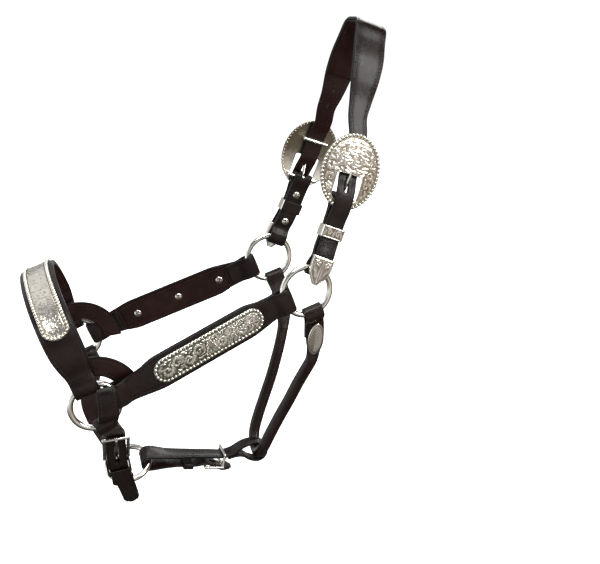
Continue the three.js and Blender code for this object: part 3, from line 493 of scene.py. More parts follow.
def posed(points, at, x, z):
    """Points drawn with x along, y across and z outward, put at a place."""
    x = unit(x)
    y = unit(np.cross(z, x))
    z = np.cross(x, y)
    return np.asarray(at) + np.asarray(points) @ np.array([x, y, z])


def punch(name, spots, node_name):
    """Punched holes: a dark cup, its near-black colour painted shade for the depth of the hole, with a pressed leather
    lip, at (place, along, outward).
    """
    parts, lips = [], []
    cup = revolve([(0, -0.7), (1.75, -0.7), (1.9, 0.03), (0, -0.05)], 16)
    for at, along, out in spots:
        parts.append((posed(cup[0], at, along, out), cup[1]))
        points, faces = torus_mesh(2.05, 0.3, 18, 6)
        lips.append((posed(points * (1, 1, 0.6), at, along, out), faces))
    piece(name, *merged(parts), HOLE_SHADE, node_name, replaces=False)
    points, faces = merged(lips)
    piece(name + "_lips", points, faces, STRAP, node_name, replaces=False,
          edge=np.full(len(points), 0.9), grain=np.ones(len(points)))


def torus_mesh(radius, wire, around=72, section=20):
    rows = []
    for a in np.arange(around) * 2 * math.pi / around:
        out = vec(math.cos(a), math.sin(a), 0)
        rows.append([out * (radius + wire * math.cos(b)) + vec(0, 0, wire * math.sin(b))
                     for b in np.arange(section) * 2 * math.pi / section])
    return rows_mesh(rows, closed=True)


def ring_piece(name, at, normal, size, node_name):
    points, faces = torus_mesh(*size)
    other = vec(1, 0, 0) if abs(normal[0]) < 0.8 else vec(0, 0, 1)
    x = unit(other - normal * np.dot(other, normal))
    piece(name, posed(points, at, x, normal), faces, NICKEL, node_name, relief=np.ones(len(points)))


def screw(name, at, along, out, node_name, turn=0.4):
    """A slotted domed head on the inside; out is the way its shank runs."""
    sides, head, rise = 28, 4.2, 1.6
    inward = -unit(out)
    rows = []
    dome = ((0.05, rise), (1.2, rise - 0.08), (2.3, rise - 0.32), (3.3, rise - 0.75), (4.0, 0.38),
            (head, 0.12), (head, -0.02))
    for r, h in dome:
        ring = []
        for a in np.arange(sides) * 2 * math.pi / sides:
            x, y = r * math.cos(a), r * math.sin(a)
            ring.append((x, y, h))
        rows.append(ring)
    points = np.array(rows, float).reshape(-1, 3)
    faces = tube_faces(len(rows), sides)
    faces = [tuple(reversed(f)) for f in faces]
    x = unit(math.cos(turn) * unit(along) + math.sin(turn) * np.cross(inward, unit(along)))
    body = posed(points, at, x, inward)
    # The slot is not cut: a near-black box sits across the head, painted shade that stands for the dark of a slot.
    slot = np.array([(sx * 3.3, sy * 0.5, z) for z in (0.5, rise + 0.08)
                     for sx, sy in ((-1, -1), (1, -1), (1, 1), (-1, 1))])
    slot[4:, 0] *= 0.62
    box = [(3, 2, 1, 0), (4, 5, 6, 7), (0, 1, 5, 4), (1, 2, 6, 5), (2, 3, 7, 6), (3, 0, 4, 7)]
    piece(name, body, faces, NICKEL, node_name, relief=np.ones(len(body)))
    piece(name + "_slot_shade", posed(slot, at, x, inward), box, HOLE_SHADE, node_name, replaces=False, smooth=False)


# ---- Routes that repeat the CAD model's ----------------------------------------------

CHEEK_RUN = math.hypot(NOSE_AT[0], NOSE_AT[2])
CHEEK_ALONG = unit((NOSE_AT[0], 0, NOSE_AT[2]))
CHEEK_SCREWS = (62, 111, 160)
SIDE_LINE = np.array([[0, 0, 65], [30, 13.5, 63], [58, 26, 61], [80, 34.5, 58.5], [100, 41.5, 56],
                      [123, 49, 52.5], [160, 58.5, 43], [184, 66, 38], [203, 71.5, 35.5],
                      [222, 77, 30.5], [240, 82, 22], [252, 85.5, 12]], float)
CROWN_ACROSS = unit((POLL[2], 0, -POLL[0]))
CROWN_LINE = [[17, 11.6, 15], [24, 11.6, 20], [36, 10.4, 20], [47, 7.8, 20], [58, 6, 20], [70, 6.8, 20],
              [80, 9.3, 20], [92, 9.4, 20], [101, 7.8, 20], [112, 3.6, 20], [122, 3.4, 20],
              [134, 3.4, 20], [145, 2.6, 20], [156, -0.6, 20], [168, 2.2, 20.5], [184, 0.8, 25],
              [203, 0, 31], [222, 0, 34], [240, 0, 34]]
HANGER_BAR, HANGER_JOINT, HANGER_SCREWS, BAR = 91.0, 57.0, (42, 72), 2.0
PLATE_LIFT, BUCKLE_AT = 6.4, 118.0


def line_at(side, height):
    i = max(1, int(np.searchsorted(SIDE_LINE[:, 0], height)))
    (z0, x0, y0), (z1, x1, y1) = SIDE_LINE[i - 1], SIDE_LINE[i]
    f = (height - z0) / (z1 - z0)
    return vec(lerp(x0, x1, f), side * lerp(y0, y1, f), height)


class Frame:
    """A place with x along, y across and z outward."""

    def __init__(self, at, along, out):
        self.at, self.along = np.asarray(at, float), unit(along)
        self.out = unit(np.asarray(out, float) - self.along * np.dot(out, self.along))
        self.across = np.cross(self.out, self.along)

    def point(self, e, o, side=0.0):
        return self.at + self.along * e + self.out * o + self.across * side

    def place(self, x, y, z):
        x, y, z = (np.asarray(v, float)[..., None] for v in (x, y, z))
        return self.at + x * self.along + y * self.across + z * self.out

    def moved(self, e, o=0.0):
        return Frame(self.point(e, o), self.along, self.out)


def side_frame(side, height, lift=0.0):
    along = unit(line_at(side, height + 6) - line_at(side, height - 6))
    out = unit(np.cross(along, CROWN_ACROSS))
    if out[1] * side < 0:
        out = -out
    return Frame(line_at(side, height) + out * lift, along, out)


def crown_at(side, height, lift):
    if height < 80 or height > 160:
        return side_frame(side, height, lift).at
    return side_frame(side, HANGER_BAR, lift).point(height - HANGER_BAR, 0)


def folded(centre, along, outward, ring, width, back, thick=PLY):
    across = unit(np.cross(outward, along))
    radius, wire = ring
    bore = radius - wire
    turn = math.sqrt(bore * bore - width * width / 4) - GAP - thick / 2
    opened, shut, past = wire + GAP + thick / 2, (thick + GAP) / 2, radius + 3.5
    half = [(turn, 0), (turn + 1.3, 0.7 * opened), (turn + 4.5, opened), (past, opened), (past + 8, shut)]
    section = [(back, -shut)] + [(e, -o) for e, o in half[:0:-1]] + half
    return [st(centre + along * e + outward * o, across, width, thick) for e, o in section]


def lifted(stations, inside, d, key="out"):
    """Stations moved away from a point inside, square to the strap."""
    _, along, where = spline([s["at"] for s in stations], 4.0)
    result = []
    for i, s in enumerate(stations):
        tangent = along[int(np.abs(where - i).argmin())]
        square = unit(np.cross(tangent, s["across"]))
        if np.dot(square, s["at"] - inside) < 0:
            square = -square
        out = s.get(key, square)
        result.append({**s, "out": out, "along": tangent, "at": s["at"] + out * d})
    return result


def agreed(stations):
    for i in range(1, len(stations)):
        if np.dot(stations[i]["across"], stations[i - 1]["across"]) < 0:
            stations[i] = {**stations[i], "across": -stations[i]["across"]}
    return stations


def facing(strap, s, outward):
    """+1 where the strap's own up is on the outside at a length along it, or else -1."""
    return 1 if np.dot(strap.sample(s)[3], outward) > 0 else -1


# ---- Engraving -----------------------------------------------------------------------

CELL = 0.2  # of the relief maps


class Relief:
    """A height map of raised scrolls, from 0 in the cut ground to 1 on top."""

    def __init__(self, length, width):
        self.x0, self.y0 = -length / 2 - 2, -width / 2 - 2
        self.map = np.zeros((int((width + 4) / CELL) + 2, int((length + 4) / CELL) + 2))

    def disc(self, x, y, r, top=1.0, cut=False):
        j0, i0 = (x - self.x0) / CELL, (y - self.y0) / CELL
        n = r / CELL
        a, b = max(0, int(i0 - n)), max(0, int(j0 - n))
        c, d = int(i0 + n) + 2, int(j0 + n) + 2
        if n <= 0 or a >= self.map.shape[0] or b >= self.map.shape[1] or c <= 0 or d <= 0:
            return
        part = self.map[a:c, b:d]
        ii, jj = np.mgrid[a:a + part.shape[0], b:b + part.shape[1]]
        q = ((ii - i0) ** 2 + (jj - j0) ** 2) / (n * n)
        body = np.sqrt(np.clip(1 - q, 0, 1))
        if cut:
            part -= np.minimum(part, top * body)
        else:
            np.maximum(part, top * body ** 0.8, out=part)

    def stroke(self, points, widths, top=1.0, cut=False):
        points = np.asarray(points, float)
        steps = np.concatenate([[0], np.cumsum(np.linalg.norm(np.diff(points, axis=0), axis=1))])
        count = max(2, int(steps[-1] / 0.22))
        s = np.linspace(0, steps[-1], count)
        xs, ys, ws = (np.interp(s, steps, v) for v in (points[:, 0], points[:, 1], np.asarray(widths, float)))
        for x, y, w in zip(xs, ys, ws):
            self.disc(x, y, w, top, cut)

    def leaf(self, x, y, angle, length, bend, width, veins=True):
        t = np.linspace(0, 1, 14)
        turn = angle + bend * t
        step = length / 13
        xs = x + np.concatenate([[0], np.cumsum(np.cos(turn[:-1]) * step)])
        ys = y + np.concatenate([[0], np.cumsum(np.sin(turn[:-1]) * step)])
        points = np.stack([xs, ys], 1)
        swell = width * np.clip(np.sin(np.pi * (0.14 + 0.86 * t)), 0.08, 1) ** 0.8
        self.stroke(points, swell + 0.42, 1.0, cut=True)
        self.stroke(points, swell)
        if veins:
            self.stroke(points[1:-1], np.full(12, max(0.26, width * 0.24)), 0.8, cut=True)
        return points

    def scroll(self, cx, cy, r, start, turn, width=1.1, leaves=6, grow=1.0):
        """A spiral stem with leaves springing from its outer side."""
        t = np.linspace(0, 1, 60)
        radius = r * (1 - 0.88 * t) ** 0.85
        a = start + turn * t
        points = np.stack([cx + radius * np.cos(a), cy + radius * np.sin(a)], 1)
        hand = math.copysign(1, turn)
        for k in range(leaves):
            i = int(4 + k * 34 / max(1, leaves - 1))
            heading = a[i] + hand * math.pi / 2
            reach = grow * r * (0.78 - 0.07 * k)
            self.leaf(*points[i], heading - hand * 0.75, reach, hand * 1.5, width * (1.15 - 0.07 * k))
        self.stroke(points, width * (1.0 - 0.45 * t))
        self.stroke(points, 0.22 * width * (1.0 - 0.3 * t), 0.7, cut=True)
        self.disc(*points[-1], width * 0.95)
        return points

    def fill(self, centres, pitch=2.5, length=5.0, width=0.95):
        """Little leaves over whatever ground is still bare, turning about the nearest scroll."""
        rng = np.random.default_rng(5)
        centres = np.array(centres, float)
        n = int(0.95 / CELL)
        for row, y in enumerate(np.arange(self.y0 + 3, -self.y0 - 3, pitch * 0.87)):
            for x in np.arange(self.x0 + 3 + pitch * 0.5 * (row % 2), -self.x0 - 3, pitch):
                i, j = int((y - self.y0) / CELL), int((x - self.x0) / CELL)
                if self.map[max(0, i - n):i + n + 1, max(0, j - n):j + n + 1].max() > 0.12:
                    continue
                away = np.array([x, y]) - centres
                near = away[np.argmin((away ** 2).sum(axis=1))]
                self.leaf(x, y, math.atan2(near[1], near[0]) + 0.5 + 0.8 * rng.random(),
                          length * (0.75 + 0.4 * rng.random()), 1.1, width, veins=False)

    def smooth(self, times=1):
        for _ in range(times):
            m = np.pad(self.map, 1, mode="edge")
            self.map = (m[1:-1, 1:-1] * 4 + m[:-2, 1:-1] + m[2:, 1:-1] + m[1:-1, :-2] + m[1:-1, 2:]) / 8

    def at(self, x, y):
        u = np.clip((np.asarray(x) - self.x0) / CELL, 0, self.map.shape[1] - 1.001)
        v = np.clip((np.asarray(y) - self.y0) / CELL, 0, self.map.shape[0] - 1.001)
        i, j = v.astype(int), u.astype(int)
        fu, fv = u - j, v - i
        m = self.map
        return ((m[i, j] * (1 - fu) + m[i, j + 1] * fu) * (1 - fv)
                + (m[i + 1, j] * (1 - fu) + m[i + 1, j + 1] * fu) * fv)


def vine(relief, first, last, half, hand=1):
    """A running vine of leafy scrolls that turn up and down by turns and fill the field."""
    span = last - first
    count = max(1, round(abs(span) / (half * 1.6)))
    pitch = span / count
    way = math.copysign(1, span)
    on = 0 if span > 0 else math.pi
    centres = []
    for k in range(count):
        cx, side = first + pitch * (k + 0.5), hand * (1 if k % 2 else -1)
        centres.append((cx, side * half * 0.14))
        for d in (-0.5, 0.1, 0.7):
            relief.leaf(cx + pitch * 0.36, -side * half * 0.15, on - side * way * (0.8 + d), half * 1.05,
                        side * way * 1.2, half * 0.15)
        relief.scroll(cx, side * half * 0.14, half * 0.72, on + math.pi + side * way * 0.5, -side * way * 7.2,
                      half * 0.125, 8, 1.05)
    relief.fill(centres)
    relief.smooth()


# ---- Plates --------------------------------------------------------------------------


def bead_row(spots, radius, name, finish, node_name, squash=0.85):
    """Round beads at [(place, outward), ...], low-sided since each is a few millimetres across."""
    ball = [(math.sin(a) * 1.0, math.cos(a)) for a in np.linspace(math.pi, 0, 8)]
    points, faces = revolve([(0, -1)] + ball[1:-1] + [(0, 1)], 12)
    parts = []
    for at, out in spots:
        side = unit(np.cross(out, (0.3, 0.2, 1) if abs(out[2]) < 0.9 else (1, 0, 0)))
        parts.append((posed(points * (radius, radius, radius * squash), at, side, out), faces))
    p, f = merged(parts)
    piece(name, p, f, finish, node_name, replaces=False, relief=np.ones(len(p)))


def along_outline(outline, pitch):
    """Evenly spaced places round a closed outline of 2-D points."""
    loop = np.vstack([outline, outline[:1]])
    run = np.concatenate([[0], np.cumsum(np.linalg.norm(np.diff(loop, axis=0), axis=1))])
    count = int(round(run[-1] / pitch))
    s = np.arange(count) * run[-1] / count
    return np.stack([np.interp(s, run, loop[:, k]) for k in (0, 1)], 1)


def long_plate(name, node_name, length, half, place, relief, finish, pitch, bead, ends=1.0, dome=0.5, deep=0.5):
    """A beaded plate with straight sides and round ends, drawn over (x, y, z) -> place."""
    cells_x, cells_y = int(length / 0.36), int(2 * half / 0.34)
    u = np.linspace(0, 1, cells_x + 1)
    # More rows near the round ends, where the outline turns fast.
    x = (u - 0.5) * length
    turn = np.linspace(0, math.pi / 2, 16)[1:-1]
    caps = length / 2 - half * ends * (1 - np.sin(turn))
    tips = [-length / 2 + 0.02, length / 2 - 0.02]
    x = np.unique(np.concatenate([x[np.abs(x) < length / 2 - half * ends], caps, -caps, tips]))
    reach = np.clip((np.abs(x) - (length / 2 - half * ends)) / (half * ends), 0, 1)
    w = half * np.sqrt(np.clip(1 - reach ** 2, 0.0004, 1))
    v = np.linspace(-1, 1, cells_y + 1)
    X, V = np.meshgrid(x, v, indexing="ij")
    Y = V * w[:, None]
    # How far each point lies inside the outline.
    inset = np.where(np.abs(X) <= length / 2 - half * ends, half - np.abs(Y),
                     half - np.hypot((np.abs(X) - (length / 2 - half * ends)) / ends, Y))
    border = 2.15 * bead
    field = np.clip((inset - border) / 0.5, 0, 1)
    groove = np.exp(-((inset - border - 0.35) / 0.32) ** 2)
    R = relief.at(X, Y) * field
    lip = np.clip(inset / 0.5, 0, 1) ** 0.5
    Z = 0.5 + 0.75 * lip + field * (dome * (1 - (Y / half) ** 2) + 0.1) + R * deep - groove * 0.35
    rows = []
    under = np.linspace(1, -1, 8)
    for i in range(len(x)):
        top = np.stack([np.full(len(v), x[i]), Y[i], Z[i]], 1)
        low = np.stack([np.full(8, x[i]), under * w[i], np.zeros(8)], 1)
        rows.append(np.vstack([top, low]))
    rows = np.array(rows)
    world = place(rows[..., 0], rows[..., 1], rows[..., 2])
    points, faces = rows_mesh(world)
    ground = np.where(field > 0.01, R, 0.12 + 0.5 * (inset < 0.35)) - groove * 0.5
    marks = np.concatenate([np.clip(ground, 0, 1), np.zeros((len(x), 8))], axis=1)
    piece(name, points, faces, finish, node_name, relief=marks)
    t = np.linspace(-math.pi / 2, math.pi / 2, 40)
    r = half - bead * 1.02
    cap = np.stack([length / 2 - half * ends + np.cos(t) * (half * ends - bead * 1.02), np.sin(t) * r], 1)
    outline = np.vstack([cap, -cap])
    spots = []
    for px, py in along_outline(outline, pitch):
        centre = place(np.array([px]), np.array([py]), np.array([1.25]))[0]
        higher = place(np.array([px]), np.array([py]), np.array([2.25]))[0]
        spots.append((centre, unit(higher - centre)))
    bead_row(spots, bead, name + "_beads", BEAD, node_name)


def tube_along(points, radii, sides=14):
    """A smooth round bar through points, with rounded ends."""
    at, along, where = spline(points, 0.9)
    radii = np.interp(where, np.arange(len(points)), np.broadcast_to(radii, len(points)))
    side = np.cross(along[0], (0, 0, 1) if abs(along[0][2]) < 0.9 else (0, 1, 0))
    rows = []
    for k, (p, t, r) in enumerate(zip(at, along, radii)):
        side = unit(side - t * np.dot(side, t))
        up = np.cross(t, side)
        ring = [p + r * (math.cos(a) * side + math.sin(a) * up) for a in np.arange(sides) * 2 * math.pi / sides]
        if k == 0:
            rows.append([p - t * r * 0.6 + (q - p) * 0.35 for q in ring])
            rows.append([p - t * r * 0.35 + (q - p) * 0.8 for q in ring])
        rows.append(ring)
        if k == len(at) - 1:
            rows.append([p + t * r * 0.35 + (q - p) * 0.8 for q in ring])
            rows.append([p + t * r * 0.6 + (q - p) * 0.35 for q in ring])
    return rows_mesh(rows)


def bar_between(a, b, radius):
    return tube_along([a, (np.asarray(a) + np.asarray(b)) / 2, b], radius)


def metal(name, parts, node_name, finish=None):
    points, faces = merged(parts)
    piece(name, points, faces, finish or NICKEL, node_name, relief=np.ones(len(points)))


def tongue_piece(name, at, pin, bar, node_name):
    """A hub round the bar and a pin that runs to the tip and rests there."""
    eye, width, tip, rise, radius = pin
    rows = []
    for a in np.arange(28) * 2 * math.pi / 28:
        ring = []
        for r, y in ((bar + 0.38, -0.5), (bar + 0.38, 0.5), (eye - 0.3, 0.5),
                     (eye, 0.3), (eye, -0.3), (eye - 0.3, -0.5)):
            ring.append(at.point(r * math.cos(a), r * math.sin(a), y * width))
        rows.append(ring)
    hub = rows_mesh(rows, closed=True)
    way = unit((tip, rise))
    start = way * (eye - 0.6)
    mid = lerp(start, vec(tip, rise), 0.55) + vec(-way[1], way[0]) * 0.25
    pin_parts = tube_along([at.point(*start), at.point(*mid), at.point(tip, rise)],
                           [radius * 1.1, radius * 1.05, radius * 0.85])
    metal(name, [hub, pin_parts], node_name)


def carve(made, at, size, shift=(0, 0, 0)):
    """Cuts a round-ended slot through a piece, as the CAD model does for a tongue."""
    length, width, depth = size
    turn = np.linspace(-math.pi / 2, math.pi / 2, 9)
    r = width / 2
    cap = np.stack([length / 2 - r + r * np.cos(turn), r * np.sin(turn)], 1)
    outline = np.vstack([cap, -cap])
    ring = len(outline)
    points = [at.point(x + shift[0], z + shift[2], y) for z in (-depth / 2, depth / 2) for x, y in outline]
    points, faces = rows_mesh(np.array(points).reshape(2, ring, 3))
    mesh = bpy.data.meshes.new("slot")
    mesh.from_pydata([tuple(p) for p in metres(points)], [], faces)
    tool = bpy.data.objects.new("slot", mesh)
    bpy.context.scene.collection.objects.link(tool)
    cut = made.modifiers.new("slot", "BOOLEAN")
    cut.object, cut.operation, cut.solver = tool, "DIFFERENCE", "EXACT"
    graph = bpy.context.evaluated_depsgraph_get()
    done = bpy.data.meshes.new_from_object(made.evaluated_get(graph))
    made.modifiers.clear()
    made.data = done
    bpy.data.objects.remove(tool)
    bpy.data.meshes.remove(mesh)


# ---- Cheek pieces --------------------------------------------------------------------


def cheek_at(side, d):
    share = np.clip((d - 38) / (CHEEK_RUN - 76), 0, 1)
    spot = CHEEK_ALONG * d
    spot[1] = side * lerp(CHEEK_SPREAD, NOSE_AT[1], share)
    return spot


def cheek_relief():
    """Two vines that run out from a middle of two slanted columns of beads."""
    relief = Relief(121, 25.4)
    vine(relief, 7, 53, 8.2, 1)
    vine(relief, -7, -53, 8.2, -1)
    for x, lean in ((3.6, 0.42), (-3.6, -0.42)):
        relief.stroke([(x - lean * 8, -8), (x + lean * 8, 8)], [0.55, 0.55])
    for x in (-0.2, 0.2):
        relief.leaf(x, -7, math.pi / 2, 13, x, 1.5)
    return relief


def cheek(name, side, relief):
    outward = vec(0, side, 0)
    upper, lower = vec(0, side * CHEEK_SPREAD, 0), vec(NOSE_AT[0], side * NOSE_AT[1], NOSE_AT[2])
    across = unit(np.cross(outward, CHEEK_ALONG))
    slope = unit(cheek_at(side, 150) - cheek_at(side, 80))
    out = unit(np.cross(slope, across))
    if out[1] * side < 0:
        out = -out
    middle = lambda ds, offset, widths, thick: [
        st(cheek_at(side, d) + out * offset, -across, w, thick) for d, w in zip(ds, widths)]
    low = folded(lower, -CHEEK_ALONG, outward, NOSE_RING, 24, 50)
    high = folded(upper, CHEEK_ALONG, outward, CHEEK_RING, 25, 50)
    stations = [{**s, "across": -across} for s in low]
    stations += middle([CHEEK_RUN - 53, CHEEK_RUN - 66, 112, 66, 53], (PLY + GAP) / 2, [30, 34, 34, 34, 30], PLY)
    stations += [{**s, "across": -across} for s in reversed(high)]
    strap = Strap(stations)
    mid = strap.nearest(cheek_at(side, 111) + out * 1.5)
    grain = facing(strap, mid, outward)
    node_name = name + "_cheek_strap"
    strap_piece(node_name + "_leather", strap, STRAP, node_name, grain)
    first, last = strap.nearest(cheek_at(side, CHEEK_RUN - 34) + out * 1.5, 40), 0
    last = strap.length[-1] - first
    stitching(node_name + "_thread", strap, node_name, both(3.7, first + 4, last - 4), grain)
    lining = Strap(middle([CHEEK_RUN - 54, CHEEK_RUN - 66, 66, 54], -(LINING + GAP) / 2, [29, 34, 34, 29], LINING))
    node_name = name + "_cheek_lining"
    inner = facing(lining, 50, -outward)
    strap_piece(node_name + "_leather", lining, LINED, node_name, inner, crown=0.15)
    stitching(node_name + "_thread", lining, node_name, both(3.7, 3, lining.length[-1] - 3), inner)
    seat = Frame(cheek_at(side, 111) + out * (PLY + GAP / 2 + GAP), slope, out)
    long_plate(name + "_cheek_plate_silver", name + "_cheek_plate", 121, 12.7, seat.place, relief, SILVER, 3.95, 1.75)
    centre = [(seat.point(x * s, 1.85, y), out) for s in (1, -1)
              for x, y in ((3.6 + 0.42 * v, v) for v in np.linspace(-6.6, 6.6, 6))]
    bead_row(centre, 1.05, name + "_cheek_plate_centre_beads", BEAD, name + "_cheek_plate")
    for i, d in enumerate(CHEEK_SCREWS):
        spot = cheek_at(side, d) - out * (LINING + GAP / 2 + GAP)
        screw(f"{name}_cheek_screw_{i + 1}_head", spot, slope, out, f"{name}_cheek_screw_{i + 1}", 0.5 + 0.9 * i)
    ring_piece(name + "_cheek_ring_wire", upper, vec(0, 1, 0), CHEEK_RING, name + "_cheek_ring")
    ring_piece(name + "_nose_ring_wire", lower, vec(0, 1, 0), NOSE_RING, name + "_nose_ring")
    ring_safe(name, side, lower)
    if side < 0:
        ring_tab(lower)


def inset_loop(outline, depth):
    """The outline of a clockwise or anticlockwise shape moved inward by a little."""
    before, after = np.roll(outline, 1, 0), np.roll(outline, -1, 0)
    turn = after - before
    turn /= np.linalg.norm(turn, axis=1)[:, None]
    normal = np.stack([-turn[:, 1], turn[:, 0]], 1)
    area = 0.5 * np.sum(outline[:, 0] * after[:, 1] - after[:, 0] * outline[:, 1])
    return outline + normal * depth * (1 if area > 0 else -1)


def ring_safe(name, side, centre):
    """Part of a flat leather washer behind a nose ring, creased and stitched along both edges."""
    bore, rim, first, last = 26.5, 46.0, 4.0, 128.0
    inward = NOSE_RING[1] + GAP + PLY + GAP
    at = Frame(vec(centre[0], side * (NOSE_AT[1] - inward - 1.2), centre[2]), (1, 0, 0), (0, -1, 0))
    line = [(0, 0, 1), (0.25, 0.95, 1), (0.9, 1.2, 0.7), (1.5, 1.2, 0.4), (1.85, 0.95, 0.9), (2.2, 1.2, 0.35),
            (3.0, 1.2, 0.1), (3.4, 1.04, 0.4), (3.8, 1.2, 0.1), (6.0, 1.24, 0.0)]
    top = [(rim - d, z, e) for d, z, e in line] + [(bore + d, z, e) for d, z, e in line[::-1]]
    low = [(bore + d, -z, e) for d, z, e in line[1:]] + [(rim - d, -z, e) for d, z, e in line[:0:-1]]
    section, edge = np.array(top + low)[:, :2], np.array(top + low)[:, 2]
    rows = []
    for a in np.radians(np.linspace(first, last, 96)):
        x, y = section[:, 0] * math.cos(a), section[:, 0] * math.sin(a)
        rows.append(at.place(x, y, section[:, 1]))
    points, faces = rows_mesh(np.array(rows))
    node_name = name + "_ring_safe"
    grain = np.ones(len(points))
    piece(node_name + "_leather", points, faces, SAFE_LEATHER, node_name, edge=np.tile(edge, 96), grain=grain)
    parts = []
    for radius in (rim - 3.4, bore + 3.4):
        for a in np.arange(math.radians(first + 3), math.radians(last - 3), 3.3 / radius):
            way = at.across * math.cos(a) - at.along * math.sin(a)
            for z, up in ((1.16, at.out), (-1.16, -at.out)):
                parts.append(capsule(at.point(radius * math.cos(a), z, radius * math.sin(a)), unit(way), up, 2.6, 0.4))
    p, f = merged(parts)
    piece(node_name + "_thread", p, f, THREAD, node_name, replaces=False)


def ring_tab(centre):
    """A short stitched tab inside the near nose ring, between its wire and the chin strap."""
    spots = [(10.0, -4.6, 19.0, 17.0), (10.6, -7.6, 14.5, 19.0), (11.2, -8.6, 7.0, 19.0), (11.4, -8.6, -3.0, 19.0),
             (11.0, -8.2, -10.0, 19.0), (10.2, -5.4, -15.5, 18.5)]
    stations = [st(vec(centre[0] + x, centre[1] + y, centre[2] + z), (1, 0, 0.12), w, 2.4) for x, y, z, w in spots]
    strap = Strap(stations, ease=1.5)
    grain = facing(strap, 15, vec(0, -1, 0))
    strap_piece("left_ring_tab_leather", strap, STRAP, "left_ring_safe", grain, replaces=False)
    stitching("left_ring_tab_thread", strap, "left_ring_safe", both(2.9, 3, strap.length[-1] - 10), grain)


# ---- Headstall -----------------------------------------------------------------------


def crown():
    leg = lambda side: [st(crown_at(side, h, lift), CROWN_ACROSS, w) for h, lift, w in CROWN_LINE]
    top = lambda y, drop: st(vec(POLL[0], y, POLL[2]) - POLL_OUT * drop, CROWN_ACROSS, CROWN_WIDTH)
    flat = lambda y: {**top(y, 0), "out": POLL_OUT}
    stations = leg(-1) + [top(-15.5, 3.6), top(-8, 0), flat(-5), flat(5), top(8, 0), top(15.5, 3.6)] + leg(1)[::-1]
    strap = Strap(stations, ease=8)
    centre = strap.nearest(POLL)
    grain = facing(strap, centre, POLL_OUT)
    made = strap_piece("crown_strap_leather", strap, STRAP, "crown_strap", grain)
    run = strap.length[-1]
    wide = strap.nearest(crown_at(-1, 166, 2))
    stitching("crown_strap_thread", strap, "crown_strap", both(3.2, wide, run - wide), grain)
    lined = strap.nearest(crown_at(-1, 205, 0))
    inner_rows = both(3.2, wide, lined) + both(3.2, run - lined, run - wide)
    stitching("crown_strap_inner_thread", strap, "crown_strap", inner_rows, -grain)
    holes = []
    for side in (-1, 1):
        for height in (62, 76, 106, 171, 187):
            s = strap.nearest(crown_at(side, height, 5))
            at, along, _, up, _, thick = strap.sample(s)
            for face in (1, -1):
                holes.append((at + up * face * (thick / 2), along, up * face))
    punch("crown_strap_holes", holes, "crown_strap")
    for side in (-1, 1):
        carve(made, side_frame(side, HANGER_BAR), (13, 3.3, 12), (12, 0, 7))
    lining = [s for s in lifted(stations, vec(60, 0, 190), -(PLY / 2 + GAP + LINING / 2)) if s["at"][2] > 200]
    lining = Strap([{**s, "thick": LINING, "width": s["width"] - 1} for s in lining])
    inner = facing(lining, lining.length[-1] / 2, -POLL_OUT)
    strap_piece("crown_lining_leather", lining, LINED, "crown_lining", inner, crown=0.15)
    stitching("crown_lining_thread", lining, "crown_lining", both(3.2, 3, lining.length[-1] - 3), inner)


def buckle_relief():
    """Scrolls over the top and down both sides, and fans of rays at the bottom corners."""
    relief = Relief(80, 66)
    centres = []
    for side in (-1, 1):
        for x, y, r, start, turn, width in ((19, 12.0, 9.0, 2.6, -7.2, 1.3), (2.5, 21.5, 6.2, -0.3, 6.6, 1.05),
                                            (-10.5, 20.5, 4.6, 2.2, -6.4, 0.9), (10, 4.4, 4.4, 0.6, 6.0, 0.9),
                                            (30.0, 3.6, 3.4, 2.9, 6.2, 0.8)):
            relief.scroll(x, side * y, r, side * start, side * turn, width, 7)
            centres.append((x, side * y))
        for k, a in enumerate(np.linspace(0.15, 1.5, 9)):
            relief.leaf(-14 - 0.9 * k, side * (16.5 - 0.2 * k), math.pi - side * a, 14.5 - 0.5 * k, side * 0.35, 1.2)
    relief.leaf(4, 0, 0, 24, 0.0, 1.8)
    relief.fill(centres, 3.4, 9.0, 1.35)
    relief.smooth()
    return relief


